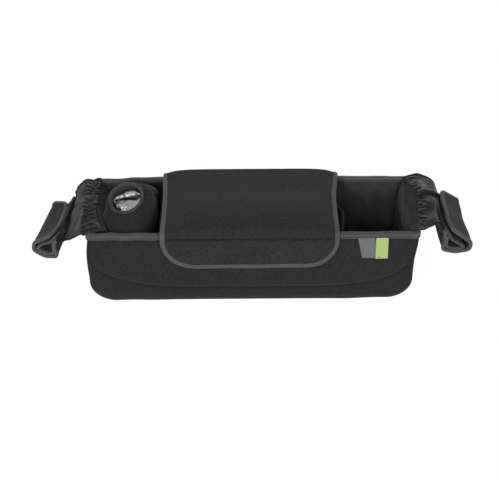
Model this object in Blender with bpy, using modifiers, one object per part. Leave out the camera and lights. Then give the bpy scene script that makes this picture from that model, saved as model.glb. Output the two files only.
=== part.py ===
"""A stroller organizer: a padded tub, a soft lid, an insulated bottle pocket and two wrap straps.

Metres, +Z up. The origin is at the middle of the base, and -Y is the front.
"""

from bisect import bisect_right
from math import acos, atan2, cos, pi, radians, sin, sqrt, tan

import bmesh
import bpy
from mathutils import Vector

COLLECTION = "stroller_organizer"

# Shell: two panels joined by one strip that runs down the ends and under the base
HALF_LENGTH = 0.200
HALF_DEPTH = 0.064
RIM_FRONT = 0.0995
RIM_BACK = 0.1110
BACK_NARROWING = 0.004
CORNER_RADIUS = 0.034
EDGE_RADIUS_BASE = 0.022
EDGE_RADIUS_END = 0.005
EDGE_BUNCHING = 1.4
WALL = 0.0035

# Fits between neighbours
CLEARANCE = 0.0003
SEAM_GAP = 0.0006

# Lining and the board that stiffens the base
LINING = 0.0008
BOARD = 0.002
BOARD_CORNER = 0.018
BOARD_MARGIN = 0.002

# Dividers
DIVIDER = 0.0035
BOTTLE_BAY = 0.088
OPEN_BAY = 0.092
DIVIDER_LEFT_X = -HALF_LENGTH + BOTTLE_BAY
DIVIDER_RIGHT_X = HALF_LENGTH - OPEN_BAY
DIVIDER_DROP = 0.013
DIVIDER_CORNER_EASE = 0.002

# Binding tape over every raw edge; the shares are of half the width of the fold
TAPE = 0.0008
RIM_TAPE_DEPTH = 0.0045
DOME_SWEEP = radians(60)
DOME_RISE = 0.5
DOME_BASE = 0.2
DOME_FOOT = 0.4
DOME_LEAN = 0.7
FOLD_FLAT = 0.5
FOLD_SIDE = 0.45

# Lid: sewn behind the back rim, folded over the front
LID_WIDTH = 0.222
LID_THICKNESS = 0.004
LID_TAIL = 0.030
LID_HUMP = 0.0025
LID_CROWN = 0.007
LID_CROWN_POWER = 4
LID_BACK_RADIUS = 0.009
LID_FRONT_RADIUS = 0.009
LID_DROP = 0.047
LID_CORNER = 0.028
LID_BINDING = 0.0055

# Fastener patches
PATCH_THICKNESS = 0.0012
PATCH_LENGTH = 0.070
PATCH_HEIGHT = 0.016
PATCH_MARGIN = 0.003

# Bottle pocket
SLEEVE_RADIUS = 0.037
SLEEVE_WALL = 0.0035
SLEEVE_FLOOR_RADIUS = 0.029
SLEEVE_ROWS = (0.7, 0.95, 1.0)
SHOULDER_HEIGHT = 0.092
FOIL = 0.0006
FOIL_GAP = 0.0012
SLEEVE_STEP = 0.1
MOUTH_RADIUS = 0.0222
MOUTH_FROM_END = 0.0448
MOUTH_HEIGHT = 0.1165
MOUTH_CENTRE = Vector((-HALF_LENGTH + MOUTH_FROM_END, 0, MOUTH_HEIGHT))
MOUTH_NORMAL = Vector((-0.26, -0.46, 0.85)).normalized()
RING_SECTION = 0.0028

# Wings: tucked over the end rims and gathered out to the straps
WING_THICKNESS = 0.0012
WING_TUCK = 0.005
WING_TUCK_HALF_DEPTH = 0.055
WING_FRONT_Y = -0.061
WING_BACK_Y = 0.062
WING_GATHERS = 8
WING_GATHER_HEIGHT = 0.0016
WING_SAG = 0.003
WING_STEPS = 5
WING_STRAP_SHARE = 0.68

# Straps: an outer ply with bound edges and a shorter hook ply inside the loop
STRAP_THICKNESS = 0.0024
STRAP_CORNER = 0.014
STRAP_BINDING = 0.0045
HOOK_PLY_THICKNESS = 0.0018
HOOK_PLY_MARGIN = 0.003
HOOK_PLY_START = 0.15
HOOK_PLY_EXTRA = 0.005
STRAP_LEFT_OUT = 0.0414
STRAP_RIGHT_OUT = 0.0374
STRAP_LEFT = {
    "top": Vector((-HALF_LENGTH - STRAP_LEFT_OUT, -0.0370, 0.0771)),
    "across": Vector((0.0187, 0.0685, 0.0241)),
    "corners": [(0, 0), (0.002, -0.034), (0.033, -0.034), (0.031, -0.0115), (0.008, -0.0065)],
    "radii": [0, 0.009, 0.009, 0.008, 0],
}
STRAP_RIGHT = {
    "top": Vector((HALF_LENGTH + STRAP_RIGHT_OUT, -0.0370, 0.0892)),
    "across": Vector((-0.0113, 0.0705, 0.0230)),
    "corners": [(0, 0), (0.002, -0.044), (0.038, -0.047), (0.035, -0.026), (0.014, -0.015)],
    "radii": [0, 0.010, 0.008, 0.008, 0],
}

# Tabs that hang from the front rim tape
TAB_THICKNESS = 0.0007
TABS_FROM_END = 0.0610
TABS_X = HALF_LENGTH - TABS_FROM_END
TAB_SHIFT = 0.0195
TABS = {
    "label_tab": {"x": TABS_X, "width": 0.0208, "drop": 0.0260, "slant": 0.006, "layer": 0},
    "ribbon_tab": {"x": TABS_X + TAB_SHIFT, "width": 0.0150, "drop": 0.0270, "slant": 0.000, "layer": 1},
}

# Colour, roughness and metallic value of each finish
FINISHES = {
    "padded_knit": ((0.028, 0.028, 0.030), 0.92, 0.0),
    "lining_cloth": ((0.012, 0.012, 0.013), 0.85, 0.0),
    "board": ((0.30, 0.30, 0.28), 0.70, 0.0),
    "tape": ((0.085, 0.085, 0.090), 0.70, 0.0),
    "coated_cloth": ((0.060, 0.060, 0.062), 0.42, 0.0),
    "webbing": ((0.030, 0.030, 0.032), 0.85, 0.0),
    "hook": ((0.020, 0.020, 0.021), 0.90, 0.0),
    "foil": ((0.62, 0.62, 0.63), 0.28, 1.0),
    "grey_weave": ((0.28, 0.28, 0.29), 0.80, 0.0),
    "green_ribbon": ((0.42, 0.62, 0.05), 0.60, 0.0),
}


def clear_scene():
    for old in list(bpy.data.objects):
        bpy.data.objects.remove(old, do_unlink=True)


def finish_material(name):
    """The Principled material of one finish, made once."""
    known = bpy.data.materials.get(name)
    if known:
        return known
    colour, roughness, metallic = FINISHES[name]
    material = bpy.data.materials.new(name)
    material.use_nodes = True
    shader = material.node_tree.nodes["Principled BSDF"]
    shader.inputs["Base Color"].default_value = (*colour, 1.0)
    shader.inputs["Roughness"].default_value = roughness
    shader.inputs["Metallic"].default_value = metallic
    return material


def place(obj, finish):
    """Links an object to the collection of the part and gives it its finish."""
    bpy.data.collections[COLLECTION].objects.link(obj)
    obj.data.materials.append(finish_material(finish))
    return obj


def sheet(name, columns, rows, rule, thickness, finish, weld=False):
    """A sheet of cloth: a grid with each point put at rule(column, row), thickened about its middle."""
    mesh = bpy.data.meshes.new(name)
    grid = bmesh.new()
    across, along = len(columns) - 1, len(rows) - 1
    bmesh.ops.create_grid(grid, x_segments=across, y_segments=along, size=1.0)
    for vertex in grid.verts:
        column = columns[round((vertex.co.x + 1) / 2 * across)]
        row = rows[round((vertex.co.y + 1) / 2 * along)]
        vertex.co = rule(column, row)
    if weld:
        bmesh.ops.remove_doubles(grid, verts=grid.verts, dist=0.00002)
    grid.to_mesh(mesh)
    grid.free()
    mesh.shade_smooth()
    obj = place(bpy.data.objects.new(name, mesh), finish)
    wall = obj.modifiers.new("thickness", "SOLIDIFY")
    wall.thickness = thickness
    wall.offset = 0.0
    return obj


def plate(name, outline, thickness, finish, turn, centre):
    """A flat piece: its outline as a filled 2D curve, extruded by half its thickness each way."""
    curve = bpy.data.curves.new(name, "CURVE")
    curve.dimensions = "2D"
    curve.fill_mode = "BOTH"
    curve.extrude = thickness / 2
    spline = curve.splines.new("POLY")
    spline.points.add(len(outline) - 1)
    for point, (x, y) in zip(spline.points, outline):
        point.co = (x, y, 0, 1)
    spline.use_cyclic_u = True
    obj = place(bpy.data.objects.new(name, curve), finish)
    obj.rotation_euler = turn
    obj.location = centre
    return obj


def steps(start, end, count):
    return [start + (end - start) * i / count for i in range(count + 1)]


def smooth(x):
    x = min(max(x, 0.0), 1.0)
    return x * x * (3 - 2 * x)


def rounded_rectangle(half_x, half_y, radius, count=5):
    """Corner arcs of a rounded rectangle about the origin, anticlockwise."""
    points = []
    for quarter in range(4):
        for angle in steps(quarter * pi / 2, (quarter + 1) * pi / 2, count):
            sign_x = 1 if quarter in (0, 3) else -1
            sign_y = 1 if quarter in (0, 1) else -1
            x = sign_x * (half_x - radius) + radius * cos(angle)
            y = sign_y * (half_y - radius) + radius * sin(angle)
            points.append((x, y))
    return points


class Path:
    """A line of straight runs with rounded corners, read by the distance along it."""

    def __init__(self, corners, radii, arc_steps=6):
        points = [Vector(corners[0])]
        for before, corner, after, radius in zip(corners, corners[1:], corners[2:], radii[1:]):
            corner = Vector(corner)
            back = (Vector(before) - corner).normalized()
            ahead = (Vector(after) - corner).normalized()
            half = acos(max(-1.0, min(1.0, back.dot(ahead)))) / 2
            centre = corner + (back + ahead).normalized() * (radius / sin(half))
            first = corner + back * (radius / tan(half)) - centre
            last = corner + ahead * (radius / tan(half)) - centre
            sweep = atan2(first.x * last.y - first.y * last.x, first.dot(last))
            for angle in steps(0, sweep, arc_steps):
                turned_x = first.x * cos(angle) - first.y * sin(angle)
                turned_y = first.x * sin(angle) + first.y * cos(angle)
                points.append(centre + Vector((turned_x, turned_y)))
        points.append(Vector(corners[-1]))
        self.points = points
        self.distances = [0.0]
        for a, b in zip(points, points[1:]):
            self.distances.append(self.distances[-1] + (b - a).length)
        self.length = self.distances[-1]
        self.tangents = []
        for i in range(len(points)):
            a, b = points[max(i - 1, 0)], points[min(i + 1, len(points) - 1)]
            self.tangents.append((b - a).normalized())

    def at(self, distance):
        """The point at a distance and the unit normal to the left of the way along."""
        i = min(max(bisect_right(self.distances, distance) - 1, 0), len(self.points) - 2)
        share = (distance - self.distances[i]) / (self.distances[i + 1] - self.distances[i])
        point = self.points[i].lerp(self.points[i + 1], share)
        tangent = self.tangents[i].lerp(self.tangents[i + 1], min(max(share, 0), 1)).normalized()
        return point, Vector((-tangent.y, tangent.x))


class Flap:
    """A strip with a free end whose two corners are rounded, bent along a path.

    across runs from -1 to 1 over the width, along is a distance on the path, and lift is a height
    over the middle of the cloth, to the left of the path. place_point(side, path_point) gives the
    point in space.
    """

    def __init__(self, path, width, corner, start, end, place_point):
        self.path, self.width, self.corner = path, width, corner
        self.start, self.end, self.place_point = start, end, place_point

    def half_width(self, along, inset=0.0):
        into_corner = max(along - (self.end - self.corner), 0.0)
        radius = self.corner - inset
        arc = sqrt(max(radius * radius - into_corner * into_corner, 0.0))
        return self.width / 2 - self.corner + arc

    def point(self, side, along, lift=0.0):
        on_path, normal = self.path.at(along)
        return self.place_point(side, along, on_path + normal * lift)

    def rows(self, inset, corner_steps=5):
        """Distances at every bend of the path and through the rounded corners."""
        straight = [d for d in self.path.distances if self.start < d < self.end - self.corner - 0.002]
        radius = self.corner - inset
        last = self.end - self.corner
        curved = [last + radius * sin(angle) for angle in steps(0, pi / 2, corner_steps)]
        return [self.start, *straight, *curved]

    def cloth(self, name, thickness, inset, finish, lift=0.0):
        """The sheet, with its edge set in by inset and closer columns near its sides."""
        rows = self.rows(inset)
        half = [0.4, 0.7, 0.88, 0.97, 1.0]
        columns = [*[-share for share in reversed(half)], 0.0, *half]

        def rule(column, row):
            return self.point(column * (self.half_width(row, inset)), row, lift)

        return sheet(name, columns, rows, rule, thickness, finish)

    def binding(self, name, cloth_thickness, reach, finish, corner_steps=6):
        """Tape folded over the free edge: down one side, round the end and up the other side."""
        last = self.end - self.corner
        side_rows = [d for d in self.path.distances if self.start < d < last - 0.002]
        inner = self.width / 2 - self.corner
        edge = [(self.width / 2, d, 0.0) for d in [self.start, *side_rows]]
        for angle in steps(0, pi / 2, corner_steps):
            side = inner + self.corner * cos(angle)
            edge.append((side, last + self.corner * sin(angle), angle))
        edge = edge + [(-side, along, pi - angle) for side, along, angle in reversed(edge)]
        height = cloth_thickness / 2 + CLEARANCE + TAPE / 2
        back = TAPE / 2
        section = [(reach, height), (back + height * FOLD_FLAT, height), (back, height * FOLD_SIDE)]
        section = section + [(inset, -lift) for inset, lift in reversed(section)]

        def rule(column, row):
            side, along, angle = edge[column]
            inset, lift = section[row]
            return self.point(side - inset * cos(angle), along - inset * sin(angle), lift)

        return sheet(name, range(len(edge)), range(len(section)), rule, TAPE, finish)


def under_tape(cloth_thickness):
    """How far the edge of a cloth is set in from the outer edge of the tape folded over it."""
    return TAPE + CLEARANCE + cloth_thickness / 4


def half_length_at(y, inset):
    back_share = (y + HALF_DEPTH) / (2 * HALF_DEPTH)
    return HALF_LENGTH - inset - BACK_NARROWING * back_share


def rim_at(y):
    return RIM_FRONT + (RIM_BACK - RIM_FRONT) * (y + HALF_DEPTH) / (2 * HALF_DEPTH)


def strip_stations():
    """Stations along the strip, 0 to 6: end wall, lower corner, half of the base, and the same again."""
    wall = steps(0, 1, 2)
    corner = steps(1, 2, 7)[1:]
    base = steps(2, 3, 2)[1:]
    half = [*wall, *corner, *base]
    return half + [6 - station for station in reversed(half[:-1])]


def strip_bearing(station, y, inset, floor):
    """Centre line data of the strip: the outer point (x, z), its outward direction and its edge radius."""
    mirrored = station > 3
    station = 6 - station if mirrored else station
    half = half_length_at(y, inset)
    radius = CORNER_RADIUS - inset
    rim = rim_at(y)
    if station <= 1:
        x, z, angle = -half, rim + (floor + radius - rim) * station, 0.0
    elif station <= 2:
        angle = (station - 1) * pi / 2
        x, z = -half + radius - radius * cos(angle), floor + radius - radius * sin(angle)
    else:
        x, z, angle = (-half + radius) * (3 - station), floor, pi / 2
    edge = EDGE_RADIUS_END + (EDGE_RADIUS_BASE - EDGE_RADIUS_END) * smooth(angle / (pi / 2))
    out_x, out_z = -cos(angle), -sin(angle)
    if mirrored:
        x, out_x = -x, -out_x
    return x, z, out_x, out_z, edge - inset


def strip_point(station, across, inset, floor):
    """Across runs from -1, the front seam, to 1, the back seam: an arc, a flat middle and an arc."""
    turn = min(max(2 - 2 * abs(across), 0.0), 1.0) ** EDGE_BUNCHING * pi / 2
    side = -1 if across < 0 else 1
    depth = HALF_DEPTH - inset
    edge = strip_bearing(station, side * depth, inset, floor)[4]
    y = side * (depth - edge * (1 - cos(turn)))
    if abs(across) <= 0.5:
        y = (depth - edge) * across * 2
    x, z, out_x, out_z, edge = strip_bearing(station, y, inset, floor)
    drop = edge * (1 - sin(turn)) if abs(across) > 0.5 else 0.0
    return Vector((x - out_x * drop, y, z - out_z * drop))


def strip(name, inset, floor, thickness, finish):
    """The long strip of the shell or of its lining."""
    arc = steps(-1, -0.5, 5)
    flat = [0.0]
    columns = [*arc, *flat, *[-share for share in reversed(arc)]]

    def rule(column, row):
        return strip_point(row, column, inset, floor)

    return sheet(name, columns, strip_stations(), rule, thickness, finish)


def panel(name, side, inset, floor, thickness, finish):
    """The front (side -1) or back (side 1) panel, whose outline is the strip's seam less the seam gap."""
    y = side * (HALF_DEPTH - inset)
    outline = []
    for station in strip_stations():
        x, z, out_x, out_z, edge = strip_bearing(station, y, inset, floor)
        reach = edge + SEAM_GAP
        outline.append((x - out_x * reach, z - out_z * reach))
    return plate(name, outline, thickness, finish, (radians(90), 0, 0), (0, y, 0))


def make_shell():
    middle = WALL / 2
    strip("shell_gusset", middle, middle, WALL, "padded_knit")
    panel("shell_front", -1, middle, middle, WALL, "padded_knit")
    panel("shell_back", 1, middle, middle, WALL, "padded_knit")


def lining_place():
    """How far the middle of the lining lies inside the shell, and its height over the ground."""
    inset = WALL + CLEARANCE + LINING / 2
    floor = WALL + CLEARANCE + BOARD + CLEARANCE + LINING / 2
    return inset, floor


def make_lining():
    inset, floor = lining_place()
    strip("lining_gusset", inset, floor, LINING, "lining_cloth")
    panel("lining_front", -1, inset, floor, LINING, "lining_cloth")
    panel("lining_back", 1, inset, floor, LINING, "lining_cloth")
    half_x = HALF_LENGTH - BACK_NARROWING - CORNER_RADIUS - BOARD_MARGIN
    half_y = HALF_DEPTH - EDGE_RADIUS_BASE - BOARD_MARGIN
    outline = rounded_rectangle(half_x, half_y, BOARD_CORNER)
    centre = (0, 0, WALL + CLEARANCE + BOARD / 2)
    plate("base_board", outline, BOARD, "board", (0, 0, 0), centre)


def make_divider(name, x):
    """A padded wall across the tub, its outline following the lining with a clearance."""
    inset, floor = lining_place()
    inset, floor = inset + LINING / 2 + CLEARANCE, floor + LINING / 2 + CLEARANCE
    depth = HALF_DEPTH - inset
    radius = EDGE_RADIUS_BASE - inset + DIVIDER_CORNER_EASE
    outline = [(-depth, rim_at(-depth) - DIVIDER_DROP)]
    for angle in steps(0, pi / 2, 6):
        outline.append((-depth + radius * (1 - cos(angle)), floor + radius * (1 - sin(angle))))
    for angle in steps(pi / 2, 0, 6):
        outline.append((depth - radius * (1 - cos(angle)), floor + radius * (1 - sin(angle))))
    outline.append((depth, rim_at(depth) - DIVIDER_DROP))
    plate(name, outline, DIVIDER, "padded_knit", (radians(90), 0, radians(90)), (x, 0, 0))


def rim_legs():
    """Where the tape's two legs stand: distances inwards from the rim's outer face."""
    return -(CLEARANCE + TAPE / 2), WALL + LINING + 3 * CLEARANCE + TAPE / 2


def rim_dome(lift):
    """The tape's dome from its outer to its inner leg, or a like dome at a lift over it.

    Each point is (distance inwards from the outer face, height over the edge).
    """
    outer, inner = rim_legs()
    middle, half = (outer + inner) / 2, (inner - outer) / 2
    base = CLEARANCE + TAPE / 2 - half * DOME_BASE + lift
    reach = half + lift * DOME_LEAN
    angles = steps(pi / 2 + DOME_SWEEP, pi / 2 - DOME_SWEEP, 4)
    return [(middle + reach * cos(angle), base + half * DOME_RISE * sin(angle)) for angle in angles]


def rim_section():
    """The tape's whole section over the rim."""
    outer, inner = rim_legs()
    foot = -DOME_FOOT * (inner - outer) / 2
    legs = [(outer, -RIM_TAPE_DEPTH), (outer, foot)], [(inner, foot), (inner, -RIM_TAPE_DEPTH)]
    return [*legs[0], *rim_dome(0), *legs[1]]


def rim_spot(turn, depth):
    """The point at a depth inside the rim's outer face; turn runs from 0 to 4, one corner each."""
    corner = min(int(turn), 3)
    angle = (turn * 2 - corner) * pi / 2
    sign_x = 1 if corner in (0, 3) else -1
    sign_y = 1 if corner in (0, 1) else -1
    radius = max(EDGE_RADIUS_END - depth, CLEARANCE)
    y = sign_y * (HALF_DEPTH - depth - radius) + radius * sin(angle)
    x = sign_x * (half_length_at(y, depth) - radius) + radius * cos(angle)
    return x, y


def make_rim_tape():
    """Binding tape folded over the rim, once round."""
    section = rim_section()
    turns = [corner + share for corner in range(4) for share in steps(0, 0.5, 4)] + [4.0]

    def rule(column, row):
        depth, height = section[column]
        turn = turns[row]
        x, y = rim_spot(turn if turn < 4 else 0.0, depth)
        return Vector((x, y, rim_at(y) + height))

    sheet("rim_tape", range(len(section)), range(len(turns)), rule, TAPE, "tape", weld=True)


def lid_flap():
    """The lid as a flap: up behind the back rim, over the top, and down in front of the shell."""
    over_tape = 3 * CLEARANCE + 2 * TAPE + LID_THICKNESS / 2
    patches = 3 * CLEARANCE + 2 * PATCH_THICKNESS + LID_THICKNESS / 2
    rim_top = (WALL + LINING) / 2
    back_y = HALF_DEPTH + over_tape
    front_y = -HALF_DEPTH - patches
    back_z = RIM_BACK + rim_top + over_tape + LID_HUMP
    front_z = RIM_FRONT + rim_top + over_tape
    corners = [
        (back_y, RIM_BACK - LID_TAIL),
        (back_y, back_z),
        (front_y, front_z),
        (front_y, front_z - LID_DROP),
    ]
    path = Path(corners, [0, LID_BACK_RADIUS, LID_FRONT_RADIUS, 0])

    def place_point(side, along, on_path):
        arch = 1 - (2 * side / LID_WIDTH) ** LID_CROWN_POWER
        depth_share = min(max((on_path.x - front_y) / (back_y - front_y), 0.0), 1.0)
        on_top = sin(pi * depth_share ** 2)
        return Vector((side, on_path.x, on_path.y + LID_CROWN * arch * on_top))

    return Flap(path, LID_WIDTH, LID_CORNER, 0.0, path.length, place_point), front_z


def make_lid():
    flap, front_z = lid_flap()
    flap.cloth("lid", LID_THICKNESS, under_tape(LID_THICKNESS), "padded_knit")
    flap.binding("lid_binding", LID_THICKNESS, LID_BINDING, "tape")
    height = front_z - LID_DROP + LID_BINDING + PATCH_MARGIN + PATCH_HEIGHT / 2
    outline = rounded_rectangle(PATCH_LENGTH / 2, PATCH_HEIGHT / 2, PATCH_HEIGHT / 5, 3)
    shell_y = -HALF_DEPTH - CLEARANCE - PATCH_THICKNESS / 2
    lid_y = shell_y - CLEARANCE - PATCH_THICKNESS
    upright = (radians(90), 0, 0)
    plate("loop_patch", outline, PATCH_THICKNESS, "hook", upright, (0, shell_y, height))
    plate("hook_patch", outline, PATCH_THICKNESS, "hook", upright, (0, lid_y, height))


def pocket_frame(height):
    """Centre and axis of the bottle pocket at a height share: upright, then leaning into the mouth."""
    inset, floor = lining_place()
    left = -half_length_at(0, inset + LINING / 2)
    right = DIVIDER_LEFT_X - DIVIDER / 2
    foot = Vector(((left + right) / 2, 0, floor + LINING / 2 + CLEARANCE))
    if height <= 1:
        return foot + Vector((0, 0, (SHOULDER_HEIGHT - foot.z) * height)), Vector((0, 0, 1))
    share = height - 1
    shoulder = foot + Vector((0, 0, SHOULDER_HEIGHT - foot.z))
    centre = shoulder.lerp(MOUTH_CENTRE, share)
    return centre, Vector((0, 0, 1)).lerp(MOUTH_NORMAL, share).normalized()


def pocket_point(angle, height, radius, drop=0.0):
    centre, axis = pocket_frame(height)
    first = (Vector((1, 0, 0)) - axis * axis.x).normalized()
    second = axis.cross(first)
    return centre + (first * cos(angle) + second * sin(angle)) * radius - axis * drop


def pocket_wall(name, offset, thickness, finish):
    """A cup with a rounded foot, a straight wall and a shoulder drawn in to the mouth.

    Its middle surface lies inside the middle of the sleeve by offset, measured square to the sleeve.
    """
    radius = SLEEVE_RADIUS - SLEEVE_WALL / 2
    foot = SLEEVE_FLOOR_RADIUS - SLEEVE_WALL / 2
    tall = SHOULDER_HEIGHT - pocket_frame(0)[0].z
    rows = [(0, SLEEVE_WALL / 2 / tall, 0.0)]
    for angle in steps(0, pi / 2, 5):
        rise = SLEEVE_WALL / 2 + foot * (1 - cos(angle))
        rows.append((radius - foot + foot * sin(angle), rise / tall, 0.0))
    rows += [(radius, height, 0.0) for height in SLEEVE_ROWS]
    below_ring = RING_SECTION + CLEARANCE + SLEEVE_WALL / 3
    for share in steps(0, 1, 6)[1:]:
        narrow = radius + (MOUTH_RADIUS - radius) * smooth(share)
        rows.append((narrow, 1 + share, below_ring * share))
    angles = steps(0, 2 * pi, 24)

    def spot(angle, row):
        reach, height, drop = rows[min(max(row, 0), len(rows) - 1)]
        return pocket_point(angle, height, reach, drop)

    def rule(column, row):
        angle = angles[column]
        if row == 0:
            return spot(angle, 0) + Vector((0, 0, offset))
        around = spot(angle + SLEEVE_STEP, row) - spot(angle - SLEEVE_STEP, row)
        middle = spot(angle, row)
        upward = (spot(angle, row + 1) - middle).normalized() + (middle - spot(angle, row - 1)).normalized()
        return middle - around.cross(upward).normalized() * offset

    return sheet(name, range(len(angles)), range(len(rows)), rule, thickness, finish, weld=True)


def make_pocket():
    pocket_wall("bottle_sleeve", 0.0, SLEEVE_WALL, "padded_knit")
    pocket_wall("bottle_foil", SLEEVE_WALL / 2 + FOIL_GAP + FOIL / 2, FOIL, "foil")
    ring_curve = bpy.data.curves.new("bottle_ring", "CURVE")
    ring_curve.dimensions = "3D"
    ring_curve.bevel_depth = RING_SECTION
    ring_curve.bevel_resolution = 2
    spline = ring_curve.splines.new("POLY")
    count = 24
    spline.points.add(count - 1)
    for i, point in enumerate(spline.points):
        point.co = (*pocket_point(2 * pi * i / count, 2.0, MOUTH_RADIUS), 1)
    spline.use_cyclic_u = True
    place(bpy.data.objects.new("bottle_ring", ring_curve), "tape")


def strap_axes(strap):
    """Unit vectors of a strap's own plane: outwards and upwards, both square to its width."""
    along = strap["across"].normalized()
    outward = Vector((1 if strap["top"].x > 0 else -1, 0, 0))
    outward = (outward - along * outward.dot(along)).normalized()
    upward = Vector((0, 0, 1))
    upward = upward - along * upward.dot(along)
    upward = (upward - outward * upward.dot(outward)).normalized()
    return outward, upward, along


def make_strap(side, strap):
    """A strap loop: the bound outer ply and the hook ply that lies inside it."""
    outward, upward, along = strap_axes(strap)
    path = Path(strap["corners"], strap["radii"])
    middle = strap["top"] + strap["across"] / 2

    def place_point(across, distance, on_path):
        return middle + along * across + outward * on_path.x + upward * on_path.y

    width = strap["across"].length
    outer = Flap(path, width, STRAP_CORNER, 0.0, path.length, place_point)
    outer.cloth(f"strap_{side}", STRAP_THICKNESS, under_tape(STRAP_THICKNESS), "webbing")
    outer.binding(f"strap_tape_{side}", STRAP_THICKNESS, STRAP_BINDING, "tape")
    inner_width = width - 2 * (STRAP_BINDING + HOOK_PLY_MARGIN)
    start = path.distances[1] + HOOK_PLY_START * (path.length - path.distances[1])
    lift = STRAP_THICKNESS / 2 + 2 * CLEARANCE + TAPE + HOOK_PLY_THICKNESS / 2
    inner = Flap(path, inner_width, STRAP_CORNER, start, path.length + HOOK_PLY_EXTRA, place_point)
    inner.cloth(f"strap_hook_{side}", HOOK_PLY_THICKNESS, 0.0, "hook", lift=lift)


def wing_outer_edge(sign, strap, share):
    """The wing's free edge from front to back: along the strap, then a quarter turn back to the rim."""
    off_strap = STRAP_THICKNESS / 2 + 2 * CLEARANCE + TAPE
    top = strap["top"] - Vector((sign * off_strap, 0, 0))
    corner = top + strap["across"]
    if share <= WING_STRAP_SHARE:
        return top.lerp(corner, share / WING_STRAP_SHARE)
    angle = (share - WING_STRAP_SHARE) / (1 - WING_STRAP_SHARE) * pi / 2
    end = Vector((sign * (half_length_at(WING_BACK_Y, 0) + WING_TUCK), WING_BACK_Y, rim_at(WING_BACK_Y)))
    spot = corner.lerp(end, sin(angle))
    spot.x = end.x + (corner.x - end.x) * cos(angle)
    return spot


def make_wing(side, strap):
    """A gathered sheet, tucked over the tape on the end rim and led out to the top of the strap."""
    sign = 1 if side == "right" else -1
    off_tape = CLEARANCE + TAPE / 2 + WING_THICKNESS / 2
    inner_leg, foot = rim_section()[-2]
    over = [(inner_leg + off_tape, -WING_TUCK), (inner_leg + off_tape, foot)]
    over += reversed(rim_dome(off_tape))

    def rule(column, row):
        depth, height = over[min(column, len(over) - 1)]
        y = WING_TUCK_HALF_DEPTH * (2 * row - 1)
        y_out = WING_FRONT_Y + (WING_BACK_Y - WING_FRONT_Y) * row
        y = y + (y_out - y) * min(column / (len(over) - 1), 1)
        inner = Vector((sign * half_length_at(y, depth), y, rim_at(y) + height))
        reach = max(column - len(over) + 1, 0) / WING_STEPS
        spot = inner.lerp(wing_outer_edge(sign, strap, row), reach)
        gather = WING_GATHER_HEIGHT * sin(2 * pi * WING_GATHERS * row + reach)
        spot.z += sin(pi * reach) * (gather - WING_SAG)
        return spot

    columns = range(len(over) + WING_STEPS)
    sheet(f"wing_{side}", columns, steps(0, 1, 4 * WING_GATHERS), rule, WING_THICKNESS, "coated_cloth")


def make_tab(name, tab):
    """A short tab of ribbon that hangs from under the front rim tape."""
    finish = "grey_weave" if name == "label_tab" else "green_ribbon"
    top = RIM_FRONT - RIM_TAPE_DEPTH - CLEARANCE
    half = tab["width"] / 2
    slant, drop = tab["slant"], tab["drop"]
    outline = [(-half, 0), (half, 0), (half + slant, -drop), (slant - half, -drop)]
    y = -HALF_DEPTH - (CLEARANCE + TAB_THICKNESS) * (tab["layer"] + 1) + TAB_THICKNESS / 2
    plate(name, outline, TAB_THICKNESS, finish, (radians(90), 0, 0), (tab["x"], y, top))


def main():
    clear_scene()
    bpy.context.scene.collection.children.link(bpy.data.collections.new(COLLECTION))
    make_shell()
    make_lining()
    make_divider("divider_left", DIVIDER_LEFT_X)
    make_divider("divider_right", DIVIDER_RIGHT_X)
    make_rim_tape()
    make_lid()
    make_pocket()
    for side, strap in (("left", STRAP_LEFT), ("right", STRAP_RIGHT)):
        make_strap(side, strap)
        make_wing(side, strap)
    for name, tab in TABS.items():
        make_tab(name, tab)


main()
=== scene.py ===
# %% [markdown]
# # Dressing a stroller organizer
#
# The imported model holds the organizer's pieces at their real size. This lesson gives each of them the cloth
# that a maker would sew: a padded knit tub, a folded lid with bound edges, a bottle pocket lined with foil,
# and two gathered wings that end in wrap straps. Everything is in metres, with +Z up and the front at -Y.
#
# Such cloth could be dropped over a form by a simulation. Here padding and seams hold each piece in a form
# that is known, so each one is worked out as a surface, which comes out the same on every run.

import bpy
import numpy as np
from mathutils import Matrix, Vector


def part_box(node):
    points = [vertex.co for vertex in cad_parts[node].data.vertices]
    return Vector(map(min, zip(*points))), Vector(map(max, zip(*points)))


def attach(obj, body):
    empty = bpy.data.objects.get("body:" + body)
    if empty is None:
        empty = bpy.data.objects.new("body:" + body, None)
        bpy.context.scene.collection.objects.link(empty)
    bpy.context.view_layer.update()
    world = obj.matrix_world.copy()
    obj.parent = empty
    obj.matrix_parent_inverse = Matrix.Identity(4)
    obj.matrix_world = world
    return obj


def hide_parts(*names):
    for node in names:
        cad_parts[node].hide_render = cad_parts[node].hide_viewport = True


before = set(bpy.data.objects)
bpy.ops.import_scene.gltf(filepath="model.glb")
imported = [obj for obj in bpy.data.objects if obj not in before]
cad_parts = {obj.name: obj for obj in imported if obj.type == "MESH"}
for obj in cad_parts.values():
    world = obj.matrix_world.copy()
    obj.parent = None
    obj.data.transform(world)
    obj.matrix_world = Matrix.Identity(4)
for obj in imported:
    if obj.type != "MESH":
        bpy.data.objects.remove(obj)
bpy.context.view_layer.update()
HALF_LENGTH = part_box("shell_gusset")[1][0]
HALF_DEPTH = -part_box("shell_front")[0][1]
RIM_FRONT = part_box("shell_front")[1][2]
RIM_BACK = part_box("shell_back")[1][2]
print(len(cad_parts), "pieces in the frame")
print("half length", round(HALF_LENGTH, 4), "half depth", round(HALF_DEPTH, 4))

# %% [markdown]
# ## The camera comes first
#
# A long, low object is often photographed from above its front with a long lens, so that the near edge
# isn't much larger than the far one. The camera could be placed by eye. Two angles, a distance and a slight
# roll place it here, because each of them can then be fitted on its own, and the focal length follows from
# how many pixels one metre takes at one metre away.

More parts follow.
